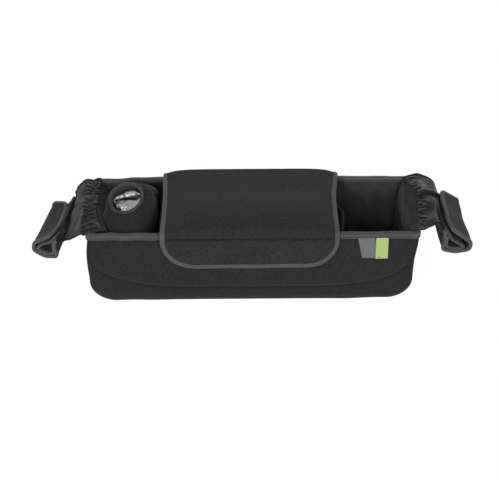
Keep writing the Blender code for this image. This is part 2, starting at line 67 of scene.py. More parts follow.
# %% Camera
IMAGE_PIXELS = 500
FOCAL_PIXELS = 1580
SENSOR = 36.0
AZIMUTH, ELEVATION, ROLL = np.radians([-0.36, 31.23, -0.22])
DISTANCE = 2.0
TARGET = np.array([-0.0018, 0.0, 0.0401])

flat_share = np.cos(ELEVATION)
backward = np.array([np.sin(AZIMUTH) * flat_share, -np.cos(AZIMUTH) * flat_share, np.sin(ELEVATION)])
level = np.array([np.cos(AZIMUTH), np.sin(AZIMUTH), 0.0])
upright = np.cross(backward, level)
right = level * np.cos(ROLL) + upright * np.sin(ROLL)
up = upright * np.cos(ROLL) - level * np.sin(ROLL)
lens = bpy.data.cameras.new("view")
lens.sensor_width = SENSOR
lens.lens = FOCAL_PIXELS / IMAGE_PIXELS * SENSOR
camera = bpy.data.objects.new("view", lens)
bpy.context.scene.collection.objects.link(camera)
turn = Matrix([right, up, backward]).transposed().to_4x4()
camera.matrix_world = Matrix.Translation(Vector(TARGET + backward * DISTANCE)) @ turn
bpy.context.scene.camera = camera
print("lens", round(lens.lens, 1), "mm at", DISTANCE, "m")

# %% [markdown]
# ## A shader as arithmetic
#
# A pattern on cloth is a sum of waves, so it reads best as a sum. The nodes could be added and linked one
# by one, but then the sum is hard to see. This class wraps one socket of a shader node, and each operator
# on it adds the Math node that does that step. Other nodes come from `Finish.node`, which makes a node's
# settings first and fills its sockets afterwards.


# %% Sockets that add up
class Pattern:
    """A number or colour that varies over a surface: one output socket of a node."""

    def __init__(self, tree, output):
        self.tree = tree
        self.output = output

    def math(self, operation, *values):
        node = self.tree.nodes.new("ShaderNodeMath")
        node.operation = operation
        for socket, value in zip(node.inputs, values):
            fill(self.tree, socket, value)
        return Pattern(self.tree, node.outputs[0])

    def __add__(self, other):
        return self.math("ADD", self, other)

    def __sub__(self, other):
        return self.math("SUBTRACT", self, other)

    def __rsub__(self, other):
        return self.math("SUBTRACT", other, self)

    def __mul__(self, other):
        return self.math("MULTIPLY", self, other)

    def __truediv__(self, other):
        return self.math("DIVIDE", self, other)

    def __pow__(self, power):
        return self.math("POWER", self, power)

    __radd__ = __add__
    __rmul__ = __mul__

    def sine(self):
        return self.math("SINE", self)

    def size(self):
        return self.math("ABSOLUTE", self)

    def fraction(self):
        return self.math("FRACT", self)


def fill(tree, socket, value):
    """Links a pattern to a socket, or sets the socket to a plain value."""
    if isinstance(value, Pattern):
        tree.links.new(value.output, socket)
    else:
        socket.default_value = value


print("patterns add, multiply and wave")


# %% Finishes
class Finish:
    """A material in the making, with its shader's steady values set on the shader itself."""

    def __init__(self, name, **steady):
        self.material = bpy.data.materials.new(name)
        self.material.use_nodes = True
        self.tree = self.material.node_tree
        self.shader = self.tree.nodes["Principled BSDF"]
        for socket, value in steady.items():
            self.shader.inputs[socket.replace("_", " ")].default_value = value

    def node(self, kind, settings=(), inputs=(), output=0):
        node = self.tree.nodes.new(kind)
        for name, value in dict(settings).items():
            setattr(node, name, value)
        for name, value in dict(inputs).items():
            fill(self.tree, node.inputs[name], value)
        return Pattern(self.tree, node.outputs[output])

    def cloth(self):
        """The place on the flat cloth, in metres: across and along."""
        place = self.node("ShaderNodeUVMap", {"uv_map": "cloth"})
        across = self.node("ShaderNodeSeparateXYZ", {}, {"Vector": place})
        return across, Pattern(self.tree, across.output.node.outputs["Y"])

    def noise(self, scale, detail=2.0, roughness=0.5, distortion=0.0):
        """Clouds from 0 to 1 in the object's own space, scale to the metre."""
        place = self.node("ShaderNodeTexCoord", output=3)
        inputs = {"Vector": place, "Scale": scale, "Detail": detail, "Roughness": roughness}
        return self.node("ShaderNodeTexNoise", {}, {**inputs, "Distortion": distortion})

    def blend(self, share, first, second):
        """The first colour where share is 0, the second where it is 1."""
        inputs = {0: share, 6: (*first, 1.0), 7: (*second, 1.0)}
        return self.node("ShaderNodeMix", {"data_type": "RGBA"}, inputs, 2)

    def wear(self, colour=None, roughness=None, height=None, depth=0.0003, strength=1.0):
        """Feeds the shader: a colour, a roughness and a height in shares of the depth."""
        if colour is not None:
            fill(self.tree, self.shader.inputs["Base Color"], colour)
        if roughness is not None:
            fill(self.tree, self.shader.inputs["Roughness"], roughness)
        if height is not None:
            inputs = {"Height": height, "Distance": depth, "Strength": strength}
            bump = self.node("ShaderNodeBump", {}, inputs)
            fill(self.tree, self.shader.inputs["Normal"], bump)
        return self.material


print("shader helpers ready")

# %% [markdown]
# ## Finishes
#
# The tub and lid are a fine knit laminated to foam: matt, nearly black, with small V-shaped stitches. The
# binding is a ribbed tape, the wings are a coated cloth that takes a soft shine, and the bottle pocket is
# lined with foil. Pictures of cloth could be wrapped round the pieces, but they blur close up and repeat
# far away. So each weave is a product of waves on the cloth's own map, which follows every fold at its real
# size. In most finishes the colour also follows that height, so raised threads, ribs, curls and crumples
# are painted lighter and the hollows darker: painted light and shade.

# %% Knit, lining, tape and webbing
TURN = 2 * np.pi


def knit(name, dark, light, wale=0.0015, course=0.0011, depth=0.00022):
    """A plain knit: rounded ribs every wale, crossed by stitches that lean like the two arms of a V."""
    finish = Finish(name, Roughness=0.9, Specular_IOR_Level=0.22, Sheen_Weight=0.06, Sheen_Roughness=0.5)
    across, along = finish.cloth()
    lean = ((across / wale).fraction() - 0.5).size()
    stitch = ((along / course + lean * 1.1) * TURN).sine() * 0.5 + 0.5
    rib = (lean * -2.0 + 1.0) ** 0.6
    clouds = finish.noise(30.0, 4.0, 0.6)
    mottle = finish.noise(330.0, 2.0, 0.6)
    height = rib * 0.55 + stitch * 0.45
    # Colour: random clouds and mottle, which the knit has, plus its height, so the raised stitches are
    # painted lighter and the hollows darker: painted light and shade.
    tone_and_painted_shade = clouds * 0.5 + (mottle - 0.5) * 1.7 + height * 0.35 + 0.08
    colour = finish.blend(tone_and_painted_shade, dark, light)
    return finish.wear(colour, clouds * 0.12 + 0.84, height, depth, 0.8)


def weave(name, dark, light, pitch, depth, rough, rib=1.0, **steady):
    """A plain weave: threads across and along that rise in turn, as the product of two sines."""
    finish = Finish(name, **steady)
    across, along = finish.cloth()
    over = (across / pitch * np.pi).sine() * (along / (pitch * rib) * np.pi).sine()
    clouds = finish.noise(60.0, 3.0, 0.6)
    height = over * 0.5 + 0.5
    # Colour: random clouds plus the threads' height, so the thread tops are painted lighter and the hollows
    # between them darker: painted light and shade.
    colour = finish.blend(clouds * 0.6 + height * 0.4, dark, light)
    return finish.wear(colour, clouds * 0.15 + rough, height, depth, 0.8)


def ribbed_tape(name, dark, light, pitch=0.0009, depth=0.00018):
    """Binding tape: rounded ribs across the tape, with fine threads along it."""
    finish = Finish(name, Roughness=0.62, Specular_IOR_Level=0.35, Sheen_Weight=0.12, Sheen_Roughness=0.4)
    across, along = finish.cloth()
    ribs = (along / pitch * TURN).sine() * 0.5 + 0.5
    threads = (across / (pitch * 0.5) * TURN).sine() * 0.5 + 0.5
    clouds = finish.noise(120.0, 3.0, 0.6)
    height = ribs * 0.75 + threads * 0.25
    # Colour: random clouds plus the ribs' height, so the rib tops are painted lighter and the hollows darker:
    # painted light and shade.
    colour = finish.blend(clouds * 0.5 + height * 0.5, dark, light)
    return finish.wear(colour, clouds * 0.16 + 0.58, height, depth, 0.8)


KNIT = knit("padded_knit", (0.011, 0.011, 0.0113), (0.027, 0.027, 0.0275))
LID_KNIT = knit("lid_knit", (0.013, 0.013, 0.0134), (0.035, 0.035, 0.0355))
LINING_CLOTH = weave("lining_cloth", (0.016, 0.016, 0.0165), (0.052, 0.052, 0.054), 0.0007, 0.0001, 0.7,
                     Specular_IOR_Level=0.25)
TAPE = ribbed_tape("binding_tape", (0.050, 0.050, 0.051), (0.105, 0.105, 0.107))
DARK_TAPE = ribbed_tape("mouth_tape", (0.026, 0.026, 0.0265), (0.062, 0.062, 0.063))
WEBBING = weave("strap_cloth", (0.009, 0.009, 0.0093), (0.024, 0.024, 0.0245), 0.0011, 0.0002, 0.74, 1.6,
                Specular_IOR_Level=0.3, Sheen_Weight=0.05)
GREY_WEAVE = weave("grey_weave", (0.085, 0.085, 0.087), (0.190, 0.190, 0.194), 0.0006, 0.0001, 0.6)
GREEN_RIBBON = weave("green_ribbon", (0.340, 0.470, 0.150), (0.480, 0.620, 0.240), 0.0005, 0.0001, 0.5)
print("knit, weave and tape finishes ready")


# %% Coated cloth, foil, fastener pile, thread and board
def coated_cloth(name, dark, light):
    """Coated cloth: a tight weave under a thin film that crumples in small facets."""
    finish = Finish(name, Specular_IOR_Level=0.13)
    across, along = finish.cloth()
    grid = (across / 0.0007 * np.pi).sine() * (along / 0.0007 * np.pi).sine()
    folds = 1.0 - (finish.noise(85.0, 3.0, 0.55, 0.6) * 2.0 - 1.0).size()
    small = finish.noise(420.0, 3.0, 0.6)
    height = (folds ** 3) * 0.8 + grid * 0.05 + small * 0.12
    # Colour: lighter on the fold ridges that the bump raises, painted highlights on the crumples, over random
    # specks.
    colour = finish.blend(folds ** 4 * 0.7 + small * 0.3, dark, light)
    return finish.wear(colour, small * 0.16 + 0.27, height, 0.0005, 0.6)


def foil_film(name):
    """Metal film on a thin foam: a mirror with sharp little creases all over."""
    finish = Finish(name, Metallic=1.0, Specular_IOR_Level=0.5)
    wide = 1.0 - (finish.noise(70.0, 2.0, 0.5, 0.8) * 2.0 - 1.0).size()
    fine = 1.0 - (finish.noise(260.0, 3.0, 0.6, 0.5) * 2.0 - 1.0).size()
    height = wide ** 5 * 0.7 + fine ** 4 * 0.3
    # The grey, far darker than bare metal, is painted shade for the dark room the foil reflects, and the fine
    # creases' ridges are painted lighter: painted glints.
    colour = finish.blend(fine ** 2, (0.11, 0.11, 0.112), (0.31, 0.31, 0.315))
    return finish.wear(colour, fine * 0.18 + 0.20, height, 0.0005, 0.8)


def pile(name, dark, light):
    """Hook and loop tape, or brushed cloth: a short even pile of curls."""
    finish = Finish(name, Specular_IOR_Level=0.2, Sheen_Weight=0.1)
    curls = finish.noise(1400.0, 2.0, 0.6)
    patches = finish.noise(200.0, 2.0, 0.6)
    # Colour: the curls' height with random patches, so the tips of the curls are painted lighter: painted
    # highlights.
    colour = finish.blend(curls * 0.7 + patches * 0.3, dark, light)
    return finish.wear(colour, patches * 0.1 + 0.86, curls, 0.0006, 0.9)


def board(name):
    """Stiffening board: pressed fibre with a faint mottle."""
    finish = Finish(name)
    fibre = finish.noise(500.0, 4.0, 0.7)
    colour = finish.blend(fibre, (0.22, 0.22, 0.20), (0.36, 0.36, 0.33))
    return finish.wear(colour, fibre * 0.1 + 0.7, fibre, 0.0002)


def thread_finish(name, dark, light):
    """Sewing thread: two plies that twist round each other."""
    finish = Finish(name, Specular_IOR_Level=0.35)
    across, along = finish.cloth()
    twist = ((across * 0.8 + along) / 0.0007 * TURN).sine() * 0.5 + 0.5
    # Colour: the twist's height, so the top of each ply is painted lighter: painted highlights.
    return finish.wear(finish.blend(twist, dark, light), twist * 0.1 + 0.6, twist, 0.00006)


COATED = coated_cloth("coated_cloth", (0.0035, 0.0035, 0.0036), (0.0115, 0.0115, 0.0118))
FOIL = foil_film("foil")
PILE = pile("hook_and_loop", (0.012, 0.012, 0.013), (0.030, 0.030, 0.032))
BOARD = board("board")
# The facing's brushed cloth is darker than the lining to stand for the shade between wing and pocket: painted
# shade.
FACING_CLOTH_AND_SHADE = pile("facing_cloth_and_shade", (0.006, 0.006, 0.0062), (0.020, 0.020, 0.0205))
# Nearly black thread, darkened further to stand for the shaded holes of the stitches as well: painted shade.
DARK_THREAD_AND_PIT_SHADE = thread_finish("dark_thread_and_pit_shade", (0.003, 0.003, 0.0032), (0.008, 0.008, 0.0083))
GREY_THREAD = thread_finish("grey_thread", (0.080, 0.080, 0.086), (0.150, 0.150, 0.156))
print("coated, foil, pile, board and thread finishes ready")

# %% [markdown]
# ## Cloth as a grid of numbers
#
# A sheet of cloth could be modelled by hand from a plane. But it is also a function of two parameters, and
# as one it can be corrected by a number. numpy works out all of its points at once, the normals come from
# the differences between neighbours, and a wall is the same grid moved to both sides of its middle. Slack
# is a sum of plane waves, and a crease is a ridge along a short line.


# %% Shape helpers
def smooth(x):
    """0 below 0, 1 above 1 and 3x² - 2x³ between."""
    x = np.clip(x, 0.0, 1.0)
    return x * x * (3 - 2 * x)


def through(points, where):
    """A smooth curve through points, by Catmull-Rom: each span is a cubic set by its four nearest points."""
    points = np.asarray(points, dtype=float)
    where = np.clip(np.asarray(where, dtype=float), 0, len(points) - 1)
    low = np.minimum(where.astype(int), len(points) - 2)
    t = (where - low).reshape(-1, *[1] * (points.ndim - 1))
    padded = np.concatenate([2 * points[:1] - points[1:2], points, 2 * points[-1:] - points[-2:-1]])
    a, b, c, d = (padded[low + i] for i in range(4))
    slope, square, cube = c - a, 2 * a - 5 * b + 4 * c - d, 3 * b - a - 3 * c + d
    return 0.5 * (2 * b + slope * t + square * t ** 2 + cube * t ** 3)


def along_knots(x, knots, values):
    """Values read smoothly between knots: a Catmull-Rom curve over the knots' numbers."""
    number = np.interp(x, knots, np.arange(len(knots)))
    return through(values, number.ravel()).reshape(np.shape(x))


print("a smooth curve through 0, 1 and 4 reads", through([0.0, 1.0, 4.0], [1.5]).round(3), "halfway on")


# %% Waves and creases
def waves(u, v, length, seed, count=9):
    """Soft unevenness, mostly from -1 to 1: plane waves with seeded ways, lengths and phases, added up."""
    total = np.zeros(np.broadcast(u, v).shape)
    for way, stretch, phase in np.random.default_rng(seed).random((count, 3)):
        number = TURN / (length * (0.65 + 0.8 * stretch))
        total += np.sin(number * (u * np.cos(TURN * way) + v * np.sin(TURN * way)) + TURN * phase)
    return total / (1.3 * np.sqrt(count))


def crease(u, v, start, end, width):
    """A ridge along a line: exp(-(distance / width)²), fading out towards both ends of the line."""
    (u0, v0), (u1, v1) = start, end
    share = ((u - u0) * (u1 - u0) + (v - v0) * (v1 - v0)) / ((u1 - u0) ** 2 + (v1 - v0) ** 2)
    near = np.clip(share, 0.0, 1.0)
    away = (u - u0 - near * (u1 - u0)) ** 2 + (v - v0 - near * (v1 - v0)) ** 2
    return np.exp(-away / width ** 2) * np.sqrt(np.sin(np.pi * np.clip(0.02 + 0.96 * share, 0.02, 0.98)))


spread = waves(np.linspace(0, 1, 500), 0.0, 0.05, 1)
print("waves stay between", spread.min().round(2), "and", spread.max().round(2))


# %% Normals and the flat cloth
def differences(points, way, wrap):
    """How the points change down the columns (way 0) or along the rows (way 1). Only the direction counts."""
    if wrap:
        return np.roll(points, -1, way) - np.roll(points, 1, way)
    return np.gradient(points, axis=way)


def unit(vectors):
    """Each vector divided by its length."""
    return vectors / np.maximum(np.linalg.norm(vectors, axis=-1, keepdims=True), 1e-12)


def normals(points, wrap_rows=False, wrap_columns=False):
    """Unit normals of a grid: the way along its rows crossed with the way down its columns."""
    return unit(np.cross(differences(points, 1, wrap_columns), differences(points, 0, wrap_rows)))


def cloth_map(points, wrap_rows=False, wrap_columns=False):
    """Each point's place on the flat cloth: the distance from the middle of its row, and along its column."""
    if wrap_columns:
        points = np.concatenate([points, points[:, :1]], 1)
    if wrap_rows:
        points = np.concatenate([points, points[:1]], 0)
    across = np.cumsum(np.linalg.norm(np.diff(points, axis=1), axis=-1), 1)
    along = np.cumsum(np.linalg.norm(np.diff(points, axis=0), axis=-1), 0)
    u = np.pad(across, ((0, 0), (1, 0)))
    v = np.pad(along, ((1, 0), (0, 0)))
    return np.stack([u - u[:, -1:] / 2, v], -1)


def grid_faces(rows, columns, wrap_rows=False, wrap_columns=False):
    """Row and column of each face's four corners. A wrapped way gets one more strip of faces."""
    r, c = np.meshgrid(np.arange(rows if wrap_rows else rows - 1),
                       np.arange(columns if wrap_columns else columns - 1), indexing="ij")
    r, c = r.reshape(-1, 1), c.reshape(-1, 1)
    return r + np.array([[0, 0, 1, 1]]), c + np.array([[0, 1, 1, 0]])


print("a grid of 3 by 4 points has", len(grid_faces(3, 4)[0]), "faces")


# %% From grids to pieces
def add_piece(name, vertices, faces, places, finish, replaced=()):
    """A new object from points, faces and each face corner's place on the flat cloth."""
    mesh = bpy.data.meshes.new(name)
    mesh.from_pydata(vertices.tolist(), [], faces)
    mesh.uv_layers.new(name="cloth").data.foreach_set("uv", np.concatenate(places).astype(np.float32).ravel())
    mesh.shade_smooth()
    mesh.materials.append(finish)
    obj = bpy.data.objects.new(name, mesh)
    bpy.context.scene.collection.objects.link(obj)
    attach(obj, "root")
    if replaced:
        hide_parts(*replaced)
    return obj


def wall(name, middle, normal, front, behind, finish, replaced=(), wrap=False, foot=False):
    """A wall of cloth: the grid moved by front and by behind along its normals, closed round its edge.

    wrap joins the last column to the first, and foot closes the first row with a flat face on each side.
    """
    rows, columns = middle.shape[:2]
    front, behind = (np.broadcast_to(depth, (rows, columns))[..., None] for depth in (front, behind))
    outer, inner = middle + normal * front, middle - normal * behind
    points = np.concatenate([outer.reshape(-1, 3), inner.reshape(-1, 3)])
    r, c = grid_faces(rows, columns, wrap_columns=wrap)
    ids = (r % rows) * columns + c % columns
    flat = cloth_map(middle, wrap_columns=wrap)
    place = flat[r, c]
    outside = normals(middle, wrap_columns=wrap)
    if (outside * normal).sum() < 0:
        ids, place = ids[:, ::-1], place[:, ::-1]
    other = rows * columns
    faces = [*ids.tolist(), *(ids[:, ::-1] + other).tolist()]
    places = [place.reshape(-1, 2), place[:, ::-1].reshape(-1, 2)]
    ways = np.stack([ids, np.roll(ids, -1, 1)], -1).reshape(-1, 2)
    used, counts = np.unique(np.sort(ways, 1), axis=0, return_counts=True)
    single = {tuple(edge) for edge in used[counts == 1].tolist()}
    open_edges = [(a, b) for a, b in ways.tolist() if (min(a, b), max(a, b)) in single]
    flat_points = flat[:rows, :columns].reshape(-1, 2)
    if foot:
        first = [edge for edge in open_edges if max(edge) < columns]
        open_edges = [edge for edge in open_edges if max(edge) >= columns]
        loop = list(range(columns))
        loop = loop[::-1] if (0, 1) in first else loop
        faces += [loop, [v + other for v in reversed(loop)]]
        places += [flat_points[loop], flat_points[loop[::-1]]]
    for a, b in open_edges:
        faces.append([b, a, a + other, b + other])
        places.append(flat_points[[b, a, a, b]])
    return add_piece(name, points, faces, places, finish, replaced)


def band(name, points, finish, replaced=(), loop=False):
    """A closed section carried along a path: rows follow the path, columns go once round the section."""
    rows, columns = points.shape[:2]
    r, c = grid_faces(rows, columns, loop, True)
    ids = (r % rows) * columns + c % columns
    place = cloth_map(points, loop, True)[r, c]
    vectors = points.reshape(-1, 3)[ids]
    volume = (vectors[:, 0] * np.cross(vectors[:, 1], vectors[:, 2])).sum()
    volume += (vectors[:, 0] * np.cross(vectors[:, 2], vectors[:, 3])).sum()
    ends = [list(range(columns))[::-1], list(range((rows - 1) * columns, rows * columns))]
    if volume < 0:
        ids, place = ids[:, ::-1], place[:, ::-1]
        ends = [end[::-1] for end in ends]
    faces, places = ids.tolist(), [place.reshape(-1, 2)]
    if not loop:
        faces += ends
        places += [points.reshape(-1, 3)[end][:, :2] for end in ends]
    return add_piece(name, points.reshape(-1, 3), faces, places, finish, replaced)


print("walls and bands ready")


# %% Stitches
def spaced(line, pitch):
    """Where places every pitch along a line of points fall, by distance, as row numbers with fractions."""
    away = np.concatenate([[0.0], np.cumsum(np.linalg.norm(np.diff(line, axis=0), axis=-1))])
    wanted = np.arange(pitch / 2, away[-1], pitch)
    return np.interp(wanted, away, np.arange(len(line)))


def at_rows(line, rows):
    """The line of vectors read between its rows."""
    return np.stack([np.interp(rows, np.arange(len(line)), line[:, i]) for i in range(line.shape[1])], -1)


STITCH_RINGS = np.array([-1.0, -0.7, 0.0, 0.7, 1.0])
STITCH_GIRTH = np.array([0.30, 0.85, 1.0, 0.85, 0.30])
STITCH_SIDES = 6


def stitches(name, line, normal, finish, pitch=0.0028, length=0.0021, thick=0.00027, sink=0.3):
    """A row of stitches: small spindles laid along the line every pitch, each a little sunk in the cloth."""
    rows = spaced(line, pitch)
    centre = at_rows(line, rows)
    out = unit(at_rows(normal, rows))
    along = unit(at_rows(np.gradient(line, axis=0), rows))
    side = unit(np.cross(along, out))
    angle = TURN * np.arange(STITCH_SIDES) / STITCH_SIDES
    ring = np.cos(angle)[:, None, None] * side + np.sin(angle)[:, None, None] * out
    bow = (1 - STITCH_RINGS ** 2) * thick - sink * thick
    points = (centre + along * (STITCH_RINGS * length / 2)[:, None, None, None]
              + out * bow[:, None, None, None] + ring * (STITCH_GIRTH * thick)[:, None, None, None])
    points = points.transpose(2, 0, 1, 3)
    count, rings = len(rows), len(STITCH_RINGS)
    r, c = grid_faces(rings, STITCH_SIDES, wrap_columns=True)
    one = r * STITCH_SIDES + c % STITCH_SIDES
    every = (one[None] + (np.arange(count) * rings * STITCH_SIDES)[:, None, None]).reshape(-1, 4)
    tips = np.stack([np.arange(STITCH_SIDES), (rings - 1) * STITCH_SIDES + np.arange(STITCH_SIDES)[::-1]])
    tips = (tips[None] + (np.arange(count) * rings * STITCH_SIDES)[:, None, None]).reshape(-1, STITCH_SIDES)
    vectors = points.reshape(-1, 3)[every[:len(one)]]
    outward_sum = ((vectors.mean(1) - points[0].reshape(-1, 3).mean(0))
                   * np.cross(vectors[:, 1] - vectors[:, 0], vectors[:, 3] - vectors[:, 0])).sum()
    if outward_sum < 0:
        every = every[:, ::-1]
    else:
        tips = tips[:, ::-1]
    place = np.stack([c * thick, r * length / rings], -1)
    corner = np.broadcast_to(place, (count, *place.shape)).reshape(-1, 2)
    tip_places = np.zeros((tips.size, 2))
    faces = [*every.tolist(), *tips.tolist()]
    return add_piece(name, points.reshape(-1, 3), faces, [corner, tip_places], finish)


print("stitches have", len(STITCH_RINGS) * STITCH_SIDES, "points each")

# %% [markdown]
# ## The tub
#
# The tub is two panels sewn to one long strip that runs down an end, under the base and up the other end. A
# box with bevels would be quicker, but it has no seams, and soft padded cloth shows its seams first. So
# each panel is a grid of its own. The strip's lower edge is well rounded, so the panel's seam is level in
# the middle and climbs each corner as a superellipse. The cloth swells between its seams and dips at them,
# the ends lean a little, and the back rim sags.

# %% Outline of the tub
WALL = 0.0035
BACK_NARROWING = 0.004
CORNER_RADIUS = 0.034
SEAM_LOW = 0.0262
SEAM_HIGH = 0.080
SHELL_SEAM = (0.060, 2.6)
LINING_SEAM = (0.130, 4.5)
SEAM_INSET = 0.0030
EDGE_DEPTH_BASE = 0.021
EDGE_DEPTH_END = 0.0045
EDGE_SHARE = 0.56
EDGE_POWER = 2.7
END_HEIGHTS = [0.0, 0.020, 0.036, 0.050, 0.065, 0.075, 0.088, 0.100, 0.112]
LEFT_LEAN = [-0.0014, -0.0012, -0.0009, -0.0022, -0.0025, -0.0021, -0.0008, 0.0, 0.0]
RIGHT_LEAN = [-0.0006, -0.0007, -0.0008, -0.0006, 0.0, 0.0016, 0.0036, 0.0041, 0.0041]
SAG_PLACES = [-0.200, -0.175, -0.145, -0.115, 0.110, 0.150, 0.200]
BACK_SAG = [0.0040, 0.0033, 0.0021, 0.0010, 0.0014, 0.0020, 0.0024]


def half_length(y):
    """The tub is a little shorter at the back."""
    return HALF_LENGTH - BACK_NARROWING * (y + HALF_DEPTH) / (2 * HALF_DEPTH)


def rim(y):
    """Height of the rim: a straight rise from the front panel to the back one."""
    return RIM_FRONT + (RIM_BACK - RIM_FRONT) * (y + HALF_DEPTH) / (2 * HALF_DEPTH)


def superellipse(share, power):
    """Corner of a rounded box, from (1, 0) at share 0 to (0, 1) at share 1."""
    angle = np.clip(share, 0.0, 1.0) * np.pi / 2
    return np.cos(angle) ** (2 / power), np.sin(angle) ** (2 / power)


def seam_point(station, half, top, seam):
    """Seam of the panel, station 0 at the rim of one end, 3 at the middle of the base, 6 at the other rim."""
    inner, power = seam
    t = np.where(station > 3, 6 - station, station)
    side = np.where(station > 3, 1.0, -1.0)
    across, down = superellipse(t - 1, power)
    end = half - SEAM_INSET
    x = np.where(t < 2, inner + (end - inner) * across, inner * (3 - t))
    z = np.where(t < 1, top + (SEAM_HIGH - top) * t, SEAM_HIGH - (SEAM_HIGH - SEAM_LOW) * down)
    return side * x, z


def outer_point(station, half, top, inner):
    """Outer line of the strip at the same stations: down the wall, round the lower corner, along the base."""
    t = np.where(station > 3, 6 - station, station)
    side = np.where(station > 3, 1.0, -1.0)
    drop, arc, run = SEAM_HIGH - CORNER_RADIUS, CORNER_RADIUS * np.pi / 2, half - CORNER_RADIUS - inner
    way = np.clip(t - 1, 0, 1) * (drop + arc + run)
    angle = np.clip((way - drop) / arc, 0, 1) * np.pi / 2
    x = half - CORNER_RADIUS + CORNER_RADIUS * np.cos(angle) - np.clip(way - drop - arc, 0, None)
    z = np.where(t < 1, top + (SEAM_HIGH - top) * t, 0.0)
    z = np.where(t >= 1, CORNER_RADIUS - CORNER_RADIUS * np.sin(angle) + np.clip(drop - way, 0, None), z)
    x = np.where(t < 2, x, inner * (3 - t))
    return side * x, z


print("tub", round(2 * HALF_LENGTH, 4), "m long and", round(2 * HALF_DEPTH, 4), "m deep")


# %% How the soft tub stands
def settle(points):
    """How the soft tub stands: each end leans along x by height, the back rim sags, a lower corner lifts."""
    points = points.copy()
    x, y, z = points[..., 0], points[..., 1], points[..., 2]
    left = along_knots(z, END_HEIGHTS, LEFT_LEAN) * smooth((-x - 0.140) / 0.055)
    lean = along_knots(z, END_HEIGHTS, RIGHT_LEAN) * smooth((x - 0.140) / 0.055)
    sag = along_knots(x, SAG_PLACES, BACK_SAG) * smooth(y / 0.060) * smooth((z - 0.080) / 0.025)
    corners = 0.0030 * smooth((x - 0.110) / 0.055) + 0.0014 * smooth((-x - 0.115) / 0.040)
    lift = corners * smooth((-y - 0.020) / 0.030) * (1 - smooth(z / 0.040))
    points[..., 0] += left + lean
    points[..., 2] += lift - sag
    return points


print("the right end leans", RIGHT_LEAN[-1], "m at its rim")


# %% Grid of the strip
def strip_grid(inset, floor, seam=SHELL_SEAM, rows=300, edge_columns=15, flat_columns=16):
    """The strip's outer face, set in by inset: an arc from the front seam, a flat middle, an arc behind."""
    station = np.linspace(0, 6, rows)[:, None]
    arc = np.linspace(0, 1, edge_columns)
    flat = np.linspace(-EDGE_SHARE, EDGE_SHARE, flat_columns)[1:-1]
    across = np.concatenate([arc * (1 - EDGE_SHARE) - 1, flat, 1 - arc[::-1] * (1 - EDGE_SHARE)])[None]
    side = np.where(across < 0, -1.0, 1.0)
    turn = np.clip((1 - np.abs(across)) / (1 - EDGE_SHARE), 0, 1) * np.pi / 2
    t = np.where(station > 3, 6 - station, station)
    edge = EDGE_DEPTH_END + (EDGE_DEPTH_BASE - EDGE_DEPTH_END) * smooth(t - 1)
    full = HALF_DEPTH - inset
    y_flat = (full - edge) * across / EDGE_SHARE
    drawn_in = 1 - np.cos(turn) ** (2 / EDGE_POWER)
    y = np.where(np.abs(across) < EDGE_SHARE, y_flat, side * (full - edge * drawn_in))
    half, top = half_length(y) - inset, rim(y)
    out_x, out_z = outer_point(station, half, top, seam[0])
    in_x, in_z = seam_point(station, half, top, seam)
    share = np.where(np.abs(across) < EDGE_SHARE, 1.0, np.sin(turn) ** (2 / EDGE_POWER))
    x, z = in_x + (out_x - in_x) * share, in_z + (out_z - in_z) * share
    z = z + floor * (1 - smooth(z / 0.03))
    return np.stack([x, y, z], -1), across


points, across = strip_grid(0.0, 0.0)
low, high = points.min((0, 1)), points.max((0, 1))
print("strip grid", points.shape, "from", low.round(4), "to", high.round(4))


# %% The strip of the shell
def strip_of_shell():
    """Swelling between the seams, a dip at each seam, and slack that fades out where the base rests."""
    points, across = strip_grid(0.0, 0.0)
    normal = normals(points)
    flat = cloth_map(points)
    seam = np.exp(-((1 - np.abs(across)) / 0.045) ** 2)
    lift = -0.0011 * seam + 0.0006 * waves(flat[..., 0], flat[..., 1], 0.055, 11) * (1 - seam)
    rises = smooth(points[..., 2] / 0.02)
    held = smooth((rim(points[..., 1]) - points[..., 2]) / 0.012)
    points = points + normal * (lift * rises * held)[..., None]
    points[..., 2] = np.maximum(points[..., 2], 0.0)
    points = settle(points)
    return wall("strip_cloth", points, normals(points), 0.0, WALL, KNIT, ["shell_gusset"])


strip_cloth = strip_of_shell()
print("strip", len(strip_cloth.data.polygons), "faces")


# %% The panels of the shell
def panel_grid(side, inset, seam=SHELL_SEAM, rows=50, columns=200):
    """A panel's outer face, and each point's distance from the seam and from the rim.

    Columns run from end to end, by the sine of an even angle so that they bunch up at the ends, and rows from
    the seam up to the rim.
    """
    y = side * (HALF_DEPTH - inset)
    half, top = half_length(y) - inset, rim(y)
    end = half - SEAM_INSET
    x = end * np.sin(np.linspace(-1, 1, columns) * np.pi / 2)[None]
    x = x * -side
    inner, power = seam
    share = np.clip((np.abs(x) - inner) / (end - inner), 0, 1)
    foot = SEAM_LOW + (SEAM_HIGH - SEAM_LOW) * (1 - (1 - share ** power) ** (1 / power))
    up_share = np.linspace(0, 1, rows)[:, None]
    z = foot + (top - foot) * up_share
    points = np.stack(np.broadcast_arrays(x, y, z), -1).astype(float)
    from_seam = np.minimum(z - foot, end - np.abs(x))
    return points, from_seam, top - z


# Each crease: where it starts and ends in x and z, its width and its height.
FRONT_CREASES = [
    ((0.1972, 0.0900), (0.1700, 0.0600), 0.0045, 0.0013),
    ((0.1964, 0.0600), (0.1860, 0.0370), 0.0035, 0.0011),
    ((0.1550, 0.0400), (0.1880, 0.0620), 0.0080, 0.0008),
    ((-0.1930, 0.0880), (-0.1780, 0.0560), 0.0070, 0.0007),
]


